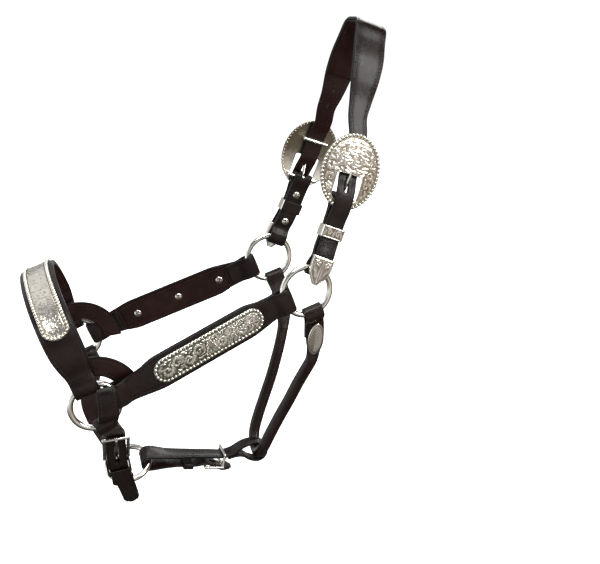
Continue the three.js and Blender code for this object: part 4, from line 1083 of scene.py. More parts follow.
def buckle(name, side, relief):
    node_name = name + "_buckle_plate"
    bar = side_frame(side, HANGER_BAR)
    plate = bar.moved(BUCKLE_AT - HANGER_BAR, PLATE_LIFT)
    a, b = 38.0, 31.5
    top, bottom, half = -3.0, -31.0, 14.0
    # The opening: square-cornered at the top with small radii, and round at the bottom.
    q = np.linspace(0, 1, 18)
    lower_right = np.stack([(1 - q) ** 2 * (bottom + 8) + 2 * q * (1 - q) * bottom + q ** 2 * bottom,
                            (1 - q) ** 2 * half + 2 * q * (1 - q) * half], 1)
    corner = [(top - 2 + 2 * math.sin(t), half - 2 + 2 * math.cos(t)) for t in np.linspace(math.pi / 2, 0, 6)]
    right = corner + [tuple(p) for p in lower_right]
    hole = np.array(right + [(x, -y) for x, y in right[::-1][1:]])
    hole = along_outline(hole, 0.55)
    centre = vec(-15, 0)
    d = hole - centre
    angle = np.arctan2(d[:, 1], d[:, 0])
    rays = np.stack([np.cos(angle), np.sin(angle)], 1)
    # Where each ray from the opening's middle meets the oval.
    qa = (rays[:, 0] / a) ** 2 + (rays[:, 1] / b) ** 2
    qb = 2 * (centre[0] * rays[:, 0] / a ** 2)
    qc = (centre[0] / a) ** 2 - 1
    outer = centre + rays * ((-qb + np.sqrt(qb * qb - 4 * qa * qc)) / (2 * qa))[:, None]
    f = np.linspace(0, 1, 96) ** 0.92
    P = hole[:, None] * (1 - f[:, None]) + outer[:, None] * f[:, None]
    X, Y = P[..., 0], P[..., 1]
    rho = np.sqrt((X / a) ** 2 + (Y / b) ** 2)
    inset = (1 - rho) * np.minimum(a, b)
    from_hole = np.linalg.norm(P - hole[:, None], axis=2)
    dome = 1.9 * (np.clip(1 - rho ** 2.2, 0, 1))
    bead = 1.85
    field = np.clip((inset - 2 * bead - 0.2) / 0.5, 0, 1) * np.clip((from_hole - 1.3) / 0.4, 0, 1)
    R = relief.at(X, Y) * field
    groove = np.exp(-((inset - 2 * bead - 0.1) / 0.35) ** 2) + 0.8 * np.exp(-((from_hole - 1.5) / 0.3) ** 2)
    lip = np.clip(from_hole / 0.7, 0, 1) ** 0.5 * np.clip(inset / 0.5, 0, 1) ** 0.5
    front = dome + 0.1 + 0.65 * lip + R * 0.3 - groove * 0.28 - 0.25 * np.clip((rho - 0.86) / 0.14, 0, 1)
    back = dome * 0.94 - 0.95
    rows = []
    for i in range(len(hole)):
        face = np.stack([X[i], Y[i], front[i]], 1)
        rear_at = np.arange(len(f) - 1, -1, -4)
        rear = np.stack([X[i][rear_at], Y[i][rear_at], back[i][rear_at]], 1)
        rows.append(np.vstack([face, rear]))
    rows = np.array(rows)
    world = plate.place(rows[..., 0], rows[..., 1], rows[..., 2])
    points, faces = rows_mesh(world, closed=True)
    # Painted shade and highlight on the plate's back: its tone runs from dark at the top end to light at the bottom end
    # by place along the plate alone, for how light falls there. The front's tones, set next, replace it on the face.
    marks = np.clip(0.15 - rows[..., 0] / a * 0.9, 0.1, 0.9)
    plain = np.where(inset < 2 * bead, 0.15, 0.9)
    marks[:, :len(f)] = np.where(field > 0.01, 0.12 + 0.88 * R, plain) - 0.5 * groove
    piece(node_name + "_silver", points, faces, BRIGHT, node_name, relief=np.clip(marks, 0, 1))
    t = np.linspace(0, 2 * math.pi, 240, endpoint=False)
    rim = np.stack([(a - bead * 0.9) * np.cos(t), (b - bead * 0.9) * np.sin(t)], 1)
    spots = [(plate.point(x, 0.75, y), unit(plate.out + 0.16 * (plate.along * x / a + plate.across * y / b)))
             for x, y in along_outline(rim, 3.95)]
    bead_row(spots, bead, node_name + "_beads", BEAD, node_name, squash=0.95)
    heel, depth = HANGER_BAR - BUCKLE_AT, PLATE_LIFT
    parts = []
    for at_x, down, reach in ((heel, depth, half + 1.6), (16, 1 + GAP + PLY + GAP + BAR + 0.6, 13)):
        parts.append(bar_between(plate.point(at_x, -down, -reach - 1), plate.point(at_x, -down, reach + 1), BAR))
        for s in (-1, 1):
            parts.append(tube_along([plate.point(at_x, -down, s * reach), plate.point(at_x, -down * 0.5, s * reach),
                                     plate.point(at_x, 0.3, s * (reach + 0.3))], [1.9, 1.6, 1.9]))
    metal(node_name + "_bars", parts, node_name)
    tongue_piece(name + "_buckle_tongue_pin", bar, (3.7, 3.4, 27.5, 10.6, 1.3), BAR, name + "_buckle_tongue")


def hanger(name, side):
    node_name = name + "_hanger"
    ring_centre, outward = vec(0, side * CHEEK_SPREAD, 0), vec(0, side, 0)
    leg = line_at(side, 30)
    leg[1] = 0
    first = unit(leg)
    across = unit(np.cross(outward, first))
    fold = folded(ring_centre, first, outward, CHEEK_RING, BILLET, HANGER_JOINT)[1:]
    shut, opened = (PLY + GAP) / 2, BAR + GAP + PLY / 2
    sided = CROWN_ACROSS if side < 0 else -CROWN_ACROSS
    ply = lambda h, lift: st(side_frame(side, h, lift).at, sided, BILLET)
    sign = -1 if np.dot(across, sided) < 0 else 1
    fold = [{**s, "across": across * sign} for s in fold]
    bend = opened + HANGER_BAR
    stations = [ply(HANGER_JOINT + 1, -shut), ply(70, -shut), ply(80, -shut - 0.3), ply(HANGER_BAR - 2, -opened),
                ply(bend - 1, -0.7 * opened), ply(bend, 0), ply(bend - 1, 0.7 * opened), ply(HANGER_BAR - 2, opened),
                ply(80, shut + 0.3), ply(70, shut), ply(56, shut), ply(44, shut), *fold[::-1],
                ply(44, -shut), ply(HANGER_JOINT - 1, -shut)]
    strap = Strap(stations)
    outer = strap.nearest(side_frame(side, 56, shut).at)
    grain = facing(strap, outer, outward)
    made = strap_piece(node_name + "_leather", strap, STRAP, node_name, grain)
    rows = [(2.6, e, outer - 22, outer + 26) for e in (1, -1)]
    stitching(node_name + "_thread", strap, node_name, rows, grain)
    carve(made, side_frame(side, HANGER_BAR), (16, 5.0, 15), (2, 0, 2.6))
    for i, height in enumerate(HANGER_SCREWS):
        f = side_frame(side, height, -(PLY + GAP / 2 + GAP))
        screw(f"{name}_hanger_screw_{i + 1}_head", f.at, f.along, f.out, f"{name}_hanger_screw_{i + 1}", 0.6 + i)


def band_piece(node_name, frame_, inner_width, low, high, tall, wall, finish, relief=None, **marks):
    """A keeper: a band round a strap, with soft corners, drawn round the frame's own x axis."""
    depth = high - low
    w, h, r = inner_width / 2 + wall / 2, depth / 2 + wall / 2, min(2.2, depth / 3)
    path = []
    for sx, sy, a0 in ((1, 1, 0), (-1, 1, 90), (-1, -1, 180), (1, -1, 270)):
        for a in np.radians(np.linspace(a0, a0 + 90, 7)):
            path.append((sx * (w - r) + r * math.cos(a), sy * (h - r) + r * math.sin(a)))
    path = along_outline(np.array(path), 0.5)
    normal = path - inset_loop(path, 1.0)
    middle = (high + low) / 2
    xs = np.linspace(-tall / 2, tall / 2, 33)
    rows, tone = [], []
    for (y, z), n in zip(path, normal):
        ring = []
        for x in xs:
            edge = np.clip((tall / 2 - abs(x)) / 0.6, 0, 1) ** 0.5
            mark = relief(x, y, n) if relief else 0.0
            lift = wall / 2 * (0.35 + 0.65 * edge) + 0.2 * mark
            ring.append((x, y + n[0] * lift, z + n[1] * lift))
            tone.append(mark if relief else 1.0)
        for x in (tall / 2 - 0.1, 0, 0.1 - tall / 2):
            ring.append((x, y - n[0] * wall / 2, z - n[1] * wall / 2))
            tone.append(1.0)
        rows.append(ring)
    rows = np.array(rows)
    world = frame_.place(rows[..., 0], rows[..., 1], rows[..., 2] + middle)
    points, faces = rows_mesh(world, closed=True)
    if relief is None:
        return piece(node_name + "_band", points, faces, finish, node_name,
                     **{k: np.full(len(points), v) for k, v in marks.items()})
    made = piece(node_name + "_band", points, faces, finish, node_name, relief=tone,
                 edge=np.full(len(points), 0.3), grain=np.ones(len(points)))
    made.data.materials.append(STRAP)
    behind = np.array([(points[list(face)].mean(0) - frame_.at) @ frame_.out < low - 0.15 for face in faces])
    made.data.polygons.foreach_set("material_index", behind.astype(np.int32))
    return made


def keeper_relief():
    relief = Relief(24, 14)
    for side in (-1, 1):
        relief.scroll(side * 5.2, 0.2, 3.3, 0.4 if side > 0 else math.pi - 0.4, side * 6.5, 0.75, 5)
        relief.leaf(side * 9.0, -3, math.pi / 2, 6.0, side * 0.6, 0.9)
    relief.leaf(0, -3.6, math.pi / 2, 7.2, 0.3, 1.0)
    relief.smooth()
    return relief


def billet_fittings(name, side, relief):
    low, high = -(PLY + GAP / 2) - GAP - 0.5, 6 + PLY / 2 + 1.8

    def engraved(x, y, n):
        if n[1] < 0.8 or abs(x) > 4.7 or abs(y) > 9.8:
            return 1.0
        return float(relief.at(y, x))

    band_piece(name + "_billet_keeper", side_frame(side, 58), BILLET + 2 * GAP + 0.5, low, high, 12, 1.2,
               BRIGHT, engraved)
    node_name = name + "_billet_tip"
    tip = [(9, 11.6, 5), (19, 11.6, 21), (27, 11.3, 22.6), (35, 10.5, 22.6)]
    strap = Strap([st(side_frame(side, h, lift).at, CROWN_ACROSS, w, 5) for h, lift, w in tip], step=0.4, ease=0.1)
    grain = facing(strap, 10, vec(0, side, 0))
    carved = Relief(34, 26)
    carved.leaf(-11, 0, 0, 22, 0.0, 2.2)
    for s in (-1, 1):
        carved.scroll(7.5, s * 5.6, 3.6, s * 2.4, -s * 6.4, 0.85, 5)
        carved.leaf(-6, s * 2.5, s * 0.5, 11, -s * 0.4, 1.3)
        carved.leaf(-1, s * 4.4, s * 0.9, 8, -s * 0.8, 1.1)
    carved.smooth()
    length = strap.length[-1]
    rows, tone = [], []
    v = np.linspace(-1, 1, 65)
    for i in range(len(strap.at)):
        w, s = strap.width[i] / 2, strap.length[i]
        y = v * w
        inset = np.minimum(w - np.abs(y), min(s * 0.8 + 0.05, length - s + 0.05) + 0 * y)
        field = np.clip((inset - 1.6) / 0.4, 0, 1)
        mark = carved.at(np.full(65, s - 13.2), y) * field
        groove = np.exp(-((inset - 1.5) / 0.3) ** 2)
        z = 1.7 + 0.8 * np.clip(inset / 1.0, 0, 1) ** 0.5 + 0.35 * field + 0.3 * mark - 0.3 * groove
        top = strap.at[i] + y[:, None] * strap.across[i] + (z * grain)[:, None] * strap.up[i]
        back = np.linspace(w, -w, 7)
        low_z = -2.45 + 0.5 * (np.abs(back) / max(w, 0.1)) ** 4
        rear = strap.at[i] + back[:, None] * strap.across[i] + (low_z * grain)[:, None] * strap.up[i]
        rows.append(np.vstack([top, rear]))
        tone += list(np.where(field > 0.01, 0.2 + 0.8 * mark, 1.0)) + [0.9] * 7
    points, faces = rows_mesh(np.array(rows))
    piece(node_name + "_silver", points, faces, BRIGHT, node_name, relief=tone)


# ---- Noseband ------------------------------------------------------------------------

NOSE_ALONG = unit((-0.342, 0, 0.94))
NOSE_LINE = [(46, 89.5, 29), (58, 89.5, 33), (72, 86, 34), (86, 77, 34), (98, 61, 34), (106, 40, 34), (110, 18, 34)]


def noseband():
    base = vec(NOSE_AT[0], 0, NOSE_AT[2])
    inside = base + NOSE_ALONG * 40
    across = unit(np.cross(NOSE_ALONG, (0, 1, 0)))

    def station(side, d, spread, width):
        spot = base + NOSE_ALONG * d
        spot[1] = side * spread
        return st(spot, across, width)

    route = [station(-1, *n) for n in NOSE_LINE] + [station(1, 111, 0, 34)] + [station(1, *n) for n in NOSE_LINE][::-1]
    ring_at = lambda side: vec(NOSE_AT[0], side * NOSE_AT[1], NOSE_AT[2])
    end = lambda side: [{**s, "across": across} for s in
                        folded(ring_at(side), NOSE_ALONG, vec(0, side, 0), NOSE_RING, 24, 44)]
    outer = lifted(route, inside, (PLY + GAP) / 2)
    strap = Strap(end(-1) + outer + end(1)[::-1])
    half = strap.length[-1] / 2
    grain = facing(strap, half, NOSE_ALONG)
    strap_piece("noseband_strap_leather", strap, STRAP, "noseband_strap", grain)
    first = strap.nearest(station(-1, 32, 90, 20)["at"], 40)
    stitching("noseband_strap_thread", strap, "noseband_strap", both(3.7, first, 2 * half - first), grain)
    core = [{**s, "thick": LINING, "width": s["width"] - 1} for s in lifted(route[1:-1], inside, -(LINING + GAP) / 2)]
    lining = Strap(core)
    inner = facing(lining, lining.length[-1] / 2, -NOSE_ALONG)
    strap_piece("noseband_lining_leather", lining, LINED, "noseband_lining", inner, crown=0.15)
    stitching("noseband_lining_thread", lining, "noseband_lining", both(3.7, 3, lining.length[-1] - 3), inner)
    face = PLY + GAP / 2
    seat = Strap(lifted(route[2:-2], inside, face + GAP), step=0.8)
    up_sign = facing(seat, seat.length[-1] / 2, NOSE_ALONG)
    length = seat.length[-1]

    def place(x, y, z):
        s = np.asarray(x, float) + length / 2
        pick = lambda a: np.stack([np.interp(s, seat.length, a[:, k]) for k in range(3)], -1)
        over = np.clip(s - length, 0, None) - np.clip(-s, 0, None)
        return (pick(seat.at) + over[..., None] * pick(seat.along) + np.asarray(y, float)[..., None] * pick(seat.across)
                + np.asarray(z, float)[..., None] * pick(seat.up) * up_sign)

    relief = Relief(length, 25.4)
    vine(relief, 3, length / 2 - 5, 8.4, 1)
    vine(relief, -3, -length / 2 + 5, 8.4, -1)
    relief.smooth(3)
    relief.leaf(0, -7.5, math.pi / 2, 15, 0.2, 1.9)
    relief.leaf(0, -7.5, math.pi / 2, 15, -0.2, 1.9)
    relief.map = 0.22 + 0.78 * relief.map
    long_plate("noseband_plate_silver", "noseband_plate", length, 12.7, place, relief, BRIGHT, 3.4, 1.6,
               ends=0.8, dome=-0.75, deep=0.26)
    inset = LINING + GAP / 2 + GAP + 0.3
    stops = lifted(route, inside, 0)
    for i, k in enumerate((3, 7, 11)):
        f = stops[k]
        node_name = f"noseband_screw_{i + 1}"
        screw(node_name + "_head", f["at"] - f["out"] * inset, f["along"], f["out"], node_name, 0.3 + i)


# ---- Chin ----------------------------------------------------------------------------

CHIN_RIGHT, CHIN_BACK, CHIN_WIDTH, FRAME_BAR = vec(0.9446, -0.3283, 0), vec(0.305, 0.8775, 0.3727), 19.0, 1.6
CHIN_TOP, CHIN_HEEL = vec(-198, -71, -128), vec(-197.5, -54, -157)


def chin_ring_point(degrees):
    a = math.radians(degrees)
    radial = CHIN_RIGHT * math.cos(a) + CHIN_BACK * math.sin(a)
    tangent = CHIN_BACK * math.cos(a) - CHIN_RIGHT * math.sin(a)
    return CHIN_RING_AT + radial * 22.5, radial, tangent


def nose_ring_point(side):
    radial = vec(0.392, 0, -0.92)
    return vec(NOSE_AT[0], side * NOSE_AT[1], NOSE_AT[2]) + radial * NOSE_RING[0], radial, vec(0.92, 0, 0.392)


def hitch(point, towards, outside, width, reach):
    at, radial, tangent = point
    wire, slack = 3.0, 1.4
    across = unit(tangent)
    along = np.asarray(towards, float) - at
    along = unit(along - across * np.dot(along, across))
    out = unit(np.cross(along, across))
    if np.dot(out, outside) < 0:
        out = -out
    opened, shut = wire + GAP + slack + PLY / 2, (PLY + GAP) / 2
    half = [(-opened, 0), (-0.72 * opened, 0.72 * opened), (0, opened), (3, opened), (opened + 8, shut)]
    section = ([(reach, -shut)] if reach else []) + [(e, -o) for e, o in half[:0:-1]] + half
    centre = at - radial * slack
    return [st(centre + along * e + out * o, across, width) for e, o in section]


def chin():
    outside = vec(0, -1, -0.4)
    bars = Frame(CHIN_HEEL, CHIN_TOP - CHIN_HEEL, outside)
    near = chin_ring_point(-95)
    down = Frame(CHIN_HEEL, near[0] - CHIN_HEEL, outside)
    run, length = np.linalg.norm(near[0] - CHIN_HEEL), np.linalg.norm(CHIN_TOP - CHIN_HEEL)
    plain = lambda f, e, o, width=CHIN_WIDTH, shift=0.0: st(f.point(e, o, shift), f.across, width)
    top = hitch(nose_ring_point(-1), CHIN_TOP, outside, CHIN_WIDTH, 22)
    under, over = -(FRAME_BAR + GAP + PLY / 2) - 0.2, FRAME_BAR + 2 * GAP + 1.5 * PLY + 0.5
    billet = Strap(agreed(top + [
        plain(bars, length + 4, under), plain(bars, length - 3, under + 0.2), plain(bars, length / 2 + 2, 0.6),
        plain(bars, 6, over - 1), plain(down, 0, over + 0.4), plain(down, 10, over - 0.3), plain(down, 22, over - 0.6),
        plain(down, 38, over + 0.6, CHIN_WIDTH, 1.6), plain(down, run - 9, 10.4, 18, 3.2),
        plain(down, run + 8, 11.4, 17.5, 4.2), plain(down, run + 22, 11.5, 17, 4.6),
        plain(down, run + 28, 11.7, 13.5, 4.8), plain(down, run + 31, 11.8, 6.5, 4.9)]), ease=1.5)
    end = billet.length[-1]
    grain = facing(billet, end - 20, outside)
    made = strap_piece("left_chin_billet_leather", billet, STRAP, "left_chin_billet", grain)
    holes = []
    for s in (end - 44, end - 16.5):
        at, along, _, up, _, thick = billet.sample(s)
        holes += [(at + up * k * thick / 2, along, up * k) for k in (1, -1)]
    punch("left_chin_billet_holes", holes, "left_chin_billet")
    carve(made, bars, (23, 4.4, 16), (11.5, 0, 5))
    low = hitch(near, CHIN_HEEL, outside, CHIN_WIDTH, 0)
    opened, shut = FRAME_BAR + GAP + PLY / 2, (PLY + GAP) / 2
    chape = Strap(agreed([plain(down, 31, -shut), *low, plain(down, 24, shut), plain(down, 12, shut + 0.3),
                          *[{**plain(down, e, h * opened), "across": bars.across}
                            for e, h in ((2, 1), (-2.6, 0.72), (-opened, 0), (-2.6, -0.72), (2, -1))],
                          plain(down, 12, -shut - 0.3), plain(down, 29, -shut)]))
    grain = facing(chape, chape.nearest(down.point(24, shut)), outside)
    made = strap_piece("chin_buckle_strap_leather", chape, STRAP, "chin_buckle_strap", grain)
    carve(made, bars, (15, 4.4, 14))
    reach = CHIN_WIDTH / 2 + FRAME_BAR + 0.6
    corner = lambda e, s: bars.point(e, 0, s * reach)
    metal("chin_buckle_frame", [
        bar_between(bars.point(0, 0, -reach - 1), bars.point(0, 0, reach + 1), FRAME_BAR),
        bar_between(bars.point(length, 0, -reach - 1), bars.point(length, 0, reach + 1), FRAME_BAR + 0.25),
        bar_between(corner(0, -1), corner(length, -1), FRAME_BAR + 0.1),
        bar_between(corner(0, 1), corner(length, 1), FRAME_BAR + 0.1)], "chin_buckle")
    tongue_piece("chin_buckle_tongue_pin", bars, (3.1, 3, length + 1.4, 3.4, 1.2), FRAME_BAR, "chin_buckle_tongue")
    inner, outer = -(PLY + GAP / 2) - GAP - 0.4, over + PLY / 2 + GAP + 0.2
    band_piece("chin_keeper", down.moved(17), CHIN_WIDTH + 1.2, inner, outer, 10, 2.0, STRAP, edge=0.3, grain=1.0)
    start = hitch(nose_ring_point(1), vec(-212, 47, -139), vec(0, 1, -0.4), CHIN_WIDTH, 24)
    end = hitch(chin_ring_point(135), vec(-208, 34, -157), vec(-0.3, 1, -0.4), CHIN_WIDTH, 24)
    a, b = start[0]["across"], end[0]["across"]
    middle = a if np.dot(a, b) < 0 else (a + b) / 2
    sag = [st((x, y, z), middle, CHIN_WIDTH) for x, y, z in ((-213, 51, -140), (-210, 40, -154))]
    far = Strap(agreed(start + sag + end[::-1]))
    grain = facing(far, far.nearest(vec(-213, 51, -140)), vec(0, 1, -0.4))
    strap_piece("right_chin_strap_leather", far, STRAP, "right_chin_strap", grain)
    ring_piece("chin_ring_wire", CHIN_RING_AT, unit(np.cross(CHIN_RIGHT, CHIN_BACK)), NOSE_RING, "chin_ring")


# ---- Jaw and throat ------------------------------------------------------------------

THROAT_BOTTOM, ROLL = vec(-36.3, 0, -208), 12.4
JAW_WIDTH, JAW_FRONT, JAW_HEEL, JAW_LEVEL, JAW_BAR, JAW_KEEPER = 19.0, 62.0, 82.0, -6.0, 1.5, 43.0


def jaw():
    ring_at, _, ring_tangent = chin_ring_point(17)
    base = Frame(ring_at, (0.982, 0, -0.187), (0, 0, 1))
    hook = THROAT_BOTTOM - ring_at
    s, o = np.dot(hook, base.along), np.dot(hook, base.out)
    w = JAW_WIDTH
    tip = [(94, -9.6, 8), (91, -9.5, 15), (82, -9.7, w), (73, -6.6, w), (62.5, -2.6, w), (54.5, -5, w), (44, -5.3, w),
           (30, -5.5, w), (18, -5.6, w)]
    turn = [(4, -6.9), (-2, -6.9), (-6.4, -4.8), (-8.2, 0), (-6.4, 4.8), (-2, 6.9), (4, 6.9)]
    upper = [(18, 5.6, w), (50, 5.3, w), (70, 5, w), (82, 5, w), (92, 8, w), (104, o + 7.4, 17), (112, o + 10.8, 16)]
    r = 9.4
    loop = [(s, o + 11.8), (s + 7, o + 7.8), (s + r, o + 0.6), (s + 6.4, o - 6.4), (s, o - r), (s - 9, o - 8)]
    back = [(s - 17, 5.6, 16), (98, 6, 17), (88, 2.8, 17)]

    def station(e, h, width):
        near = float(np.clip(1 - abs(e) / 30, 0, 1))
        across = unit(lerp(vec(0, 1, 0), ring_tangent, near))
        y = lerp(0, -ring_at[1], float(np.clip(e / 60, 0, 1)))
        return st(base.point(e, h) + vec(0, y, 0), across, width)

    route = tip + [(e, h, w) for e, h in turn] + upper + [(e, h, 15) for e, h in loop] + back
    strap = Strap([station(*p) for p in route], ease=1.5)
    grain = facing(strap, strap.nearest(base.point(50, 5.3)), base.out)
    made = strap_piece("jaw_strap_leather", strap, STRAP, "jaw_strap", grain)
    rows = both(2.6, strap.nearest(base.point(18, 5.6)), strap.nearest(base.point(82, 5)))
    stitching("jaw_strap_thread", strap, "jaw_strap", rows, grain)
    heel = base.point(JAW_HEEL, JAW_LEVEL)
    heel[1] = 0
    level = Frame(heel, -base.along, -base.out)
    carve(made, level, (20, 4.2, 9), (5.5, 0, 1.8))
    reach = w / 2 + JAW_BAR + 0.6

    def at(e, h, side):
        spot = base.point(e, h)
        spot[1] = side * reach
        return spot

    cross = lambda e, h: bar_between(at(e, h, -1.08), at(e, h, 1.08), JAW_BAR)
    sides = [bar_between(at(*a, k), at(*b, k), JAW_BAR + 0.05) for k in (-1, 1)
             for a, b in (((JAW_FRONT, JAW_LEVEL), (JAW_HEEL, JAW_LEVEL)), ((JAW_HEEL, JAW_LEVEL), (JAW_HEEL, 8.8)))]
    bars = [cross(JAW_FRONT, JAW_LEVEL), cross(JAW_HEEL, JAW_LEVEL), cross(JAW_HEEL, 8.8)]
    metal("jaw_buckle_frame", [*bars, *sides], "jaw_buckle")
    tongue_piece("jaw_buckle_tongue_pin", level, (3, 3, JAW_HEEL - JAW_FRONT + 1.2, 3.2, 1.2), JAW_BAR,
                 "jaw_buckle_tongue")
    seat = base.point(JAW_KEEPER, -5.25)
    seat[1] = -0.4
    half = (PLY + 1) / 2
    band_piece("jaw_keeper", Frame(seat, base.along, base.out), w + 1, -half, half, 11, 1.8, STRAP, edge=0.3, grain=1.0)
    holes = []
    for e in (36, 24):
        spot = strap.nearest(base.point(e, -5.4))
        p, along, _, up, _, thick = strap.sample(spot)
        holes.append((p - up * thick / 2 * np.sign(np.dot(up, base.out)), along, -up * np.sign(np.dot(up, base.out))))
    punch("jaw_strap_holes", holes, "jaw_strap")


THROAT_LINE = [(12, 54.5, -46, 20, PLY), (13.4, 52, -60, 19, PLY), (13.2, 50.6, -71, 15, 7),
               (11.6, 49, -82, ROLL, ROLL), (6, 43, -98, ROLL, ROLL), (0, 38, -113, ROLL, ROLL),
               (-8, 33, -133, ROLL, ROLL), (-18, 28, -155, ROLL, ROLL), (-28, 23.5, -178, ROLL, ROLL),
               (-33.5, 19.5, -193, ROLL, ROLL), (-35.8, 11.5, -203.6, ROLL, ROLL)]


def rolled_section(w, h):
    """From a flat strap's section to a round one as the thickness nears the width."""
    r = min(w, h) * 0.9
    corner = lambda a0, a1, sx, sy: [(sx * (w - r) + r * math.cos(a), sy * (h - r) + r * math.sin(a))
                                     for a in np.radians(np.linspace(a0, a1, 8))]
    points = corner(0, 90, 1, 1) + corner(90, 180, -1, 1) + corner(180, 270, -1, -1) + corner(270, 360, 1, -1)
    flat = float(np.clip(1.6 - h / w, 0, 1))
    edge = [flat * (0.9 if abs(math.sin(math.radians(a))) < 0.8 else 0.2)
            for lo in (0, 90, 180, 270) for a in np.linspace(lo, lo + 90, 8)]
    return np.array(points), edge, [1.0] * 32


def throat():
    down, out_across = unit((0.3, 0, -0.954)), unit((0.954, 0, 0.3))
    shut = (PLY + GAP) / 2

    def leg(side):
        fold = folded(vec(0, side * CHEEK_SPREAD, 0), down, vec(0, side, 0), CHEEK_RING, 20, 36)
        tab = Frame(vec(12, side * 54, -46), (0.06, side * -0.16, -0.985), (0, side, 0))
        fold = [{**s, "across": out_across} for s in fold]
        fold[0]["at"], fold[1]["at"], fold[-1]["at"] = tab.point(9, -shut), tab.point(-4, -shut), tab.point(-6, shut)
        rest = [st(vec(x, side * y, z) + vec(0, side * shut * (i == 0), 0), out_across, w, t)
                for i, (x, y, z, w, t) in enumerate(THROAT_LINE[1:])]
        return fold + rest, tab

    left, left_tab = leg(-1)
    right, right_tab = leg(1)
    strap = Strap(left + [st(THROAT_BOTTOM, out_across, ROLL, ROLL)] + right[::-1])
    strap_piece("throat_strap_leather", strap, ROLLED, "throat_strap", shape=lambda w, h, i: rolled_section(w, h))
    run = strap.length[-1]
    first = strap.nearest(vec(11.6, -49, -82), 50)
    grain = facing(strap, first + 20, vec(0, 1, 0))
    parts = []
    for s in np.arange(first, run - first, 3.2):
        at, along, across, up, width, thick = strap.sample(s)
        inward = up * grain
        parts.append(capsule(at + inward * (thick / 2 + 0.05), along, inward, 2.5, 0.42))
    p, f = merged(parts)
    piece("throat_strap_thread", p, f, THREAD, "throat_strap", replaces=False)
    for edge in (1, -1):
        ridge = []
        for s in np.arange(first - 6, run - first + 6, 2.5):
            at, along, across, up, width, thick = strap.sample(s)
            angle = 0.3 * edge
            way = up * grain * math.cos(angle) + across * math.sin(angle)
            ridge.append(at + way * (min(width, thick) / 2 - 0.25))
        points, faces = tube_along(ridge, 0.55, 8)
        piece(f"throat_strap_seam_{'a' if edge > 0 else 'b'}", points, faces, ROLLED, "throat_strap", replaces=False,
              edge=np.full(len(points), 0.75), grain=np.ones(len(points)))
    for name, side, tab in (("left", -1, left_tab), ("right", 1, right_tab)):
        angle = -0.12 if side < 0 else 0.12
        slant = Matrix.Rotation(angle, 3, Vector(tab.out)) @ Vector(tab.along)
        seat = Frame(tab.point(9.5, PLY + GAP / 2 + GAP + 2.6), np.array(slant), tab.out)
        concho(name + "_throat_concho", seat)
        tab_tail(name, tab)
        spot = tab.point(0, -(PLY + GAP / 2) - GAP)
        screw(name + "_throat_screw_head", spot, tab.along, tab.out, name + "_throat_screw")


def tab_tail(name, tab):
    """The pointed outer layer of the tab, under the concho."""
    shape = ((-14, -1.2, 20), (-6, -0.3, 20.5), (4, 0, 20.5), (14, 0.2, 19.5), (20, 0.6, 16), (25, 1.3, 10.5),
             (29.5, 2.4, 3.2))
    stations = [st(tab.point(e, 3.75 + lift), tab.across, w, 1.9) for e, lift, w in shape]
    strap = Strap(stations, ease=1.0)
    grain = facing(strap, 10, tab.out)
    strap_piece(name + "_throat_tab_leather", strap, STRAP, "throat_strap", grain, replaces=False)


def concho(node_name, at):
    """A leaf-shaped concho with a plain raised rim and slanting flutes."""
    a, b = 19.0, 8.5
    t = np.linspace(0, 2 * math.pi, 128, endpoint=False)
    f = np.linspace(0.02, 1, 34)
    T, F = np.meshgrid(t, f, indexing="ij")
    X, Y = a * F * np.cos(T), b * F * np.sin(T)
    inset = (1 - F) * b
    field = np.clip((inset - 1.5) / 0.5, 0, 1)
    wave = 0.5 + 0.5 * np.cos((X + 1.25 * np.abs(Y + 1.5)) * 2 * math.pi / 3.3)
    Z = 0.5 + 0.9 * np.clip(inset / 0.7, 0, 1) ** 0.5 - 0.35 * field + 0.9 * (1 - F ** 2) * field + 0.42 * wave * field
    rows = [np.vstack([np.stack([X[i], Y[i], Z[i]], 1), [(X[i][-1] * 0.99, Y[i][-1] * 0.99, 0), (X[i][0], Y[i][0], 0)]])
            for i in range(len(t))]
    rows = np.array(rows)
    points, faces = rows_mesh(at.place(rows[..., 0], rows[..., 1], rows[..., 2]), closed=True)
    tone = np.concatenate([np.where(field > 0.3, 0.15 + 0.85 * wave, 1.0), np.ones((len(t), 2))], 1)
    piece(node_name + "_silver", points, faces, BRIGHT, node_name, relief=tone)


# ---- Build ---------------------------------------------------------------------------

plate_relief = cheek_relief()
buckle_scrolls = buckle_relief()
keeper_scrolls = keeper_relief()
for name, side in SIDES:
    cheek(name, side, plate_relief)
    hanger(name, side)
    buckle(name, side, buckle_scrolls)
    billet_fittings(name, side, keeper_scrolls)
crown()
noseband()
chin()
jaw()
throat()


# ---- Floor, light and camera ---------------------------------------------------------


# Each lamp's name, place, size in metres and watts; all of them face LAMP_AIM.
LAMPS = (("key", (-0.45, -1.4, 2.0), 1.2, 40), ("fill", (1.05, -1.45, 0.72), 0.8, 24),
         ("side", (-1.7, 0.15, 0.05), 1.5, 7.5), ("top", (0.3, 0.6, 1.8), 1.3, 22),
         ("rear", (-1.05, 1.1, 0.85), 1.7, 6.0), ("back", (1.0, 1.4, 0.9), 0.9, 14))
LAMP_AIM = (-0.09, 0.0, -0.22)
CAMERA_AT, CAMERA_LOOK, CAMERA_LENS = (-0.34505, -0.79132, 0.00526), (0.3125, 0.899, -0.3069), 48.52
FLOOR_SIZE, FLOOR_GAP, BACKDROP_RADIUS = 400, 0.002, 30  # metres


def glowing(name, scale, stops, glow, rough=0.5):
    """A plain matt surface that glows a little, so that it renders white."""

    def build(tree, shader):
        tree.links.new(ramp(tree, noise(tree, scale), stops), shader.inputs["Base Color"])
        shader.inputs["Roughness"].default_value = rough
        shader.inputs["Specular IOR Level"].default_value = 0.0
        shader.inputs["Emission Color"].default_value = (1, 1, 1, 1)
        shader.inputs["Emission Strength"].default_value = glow

    return material(name, build)


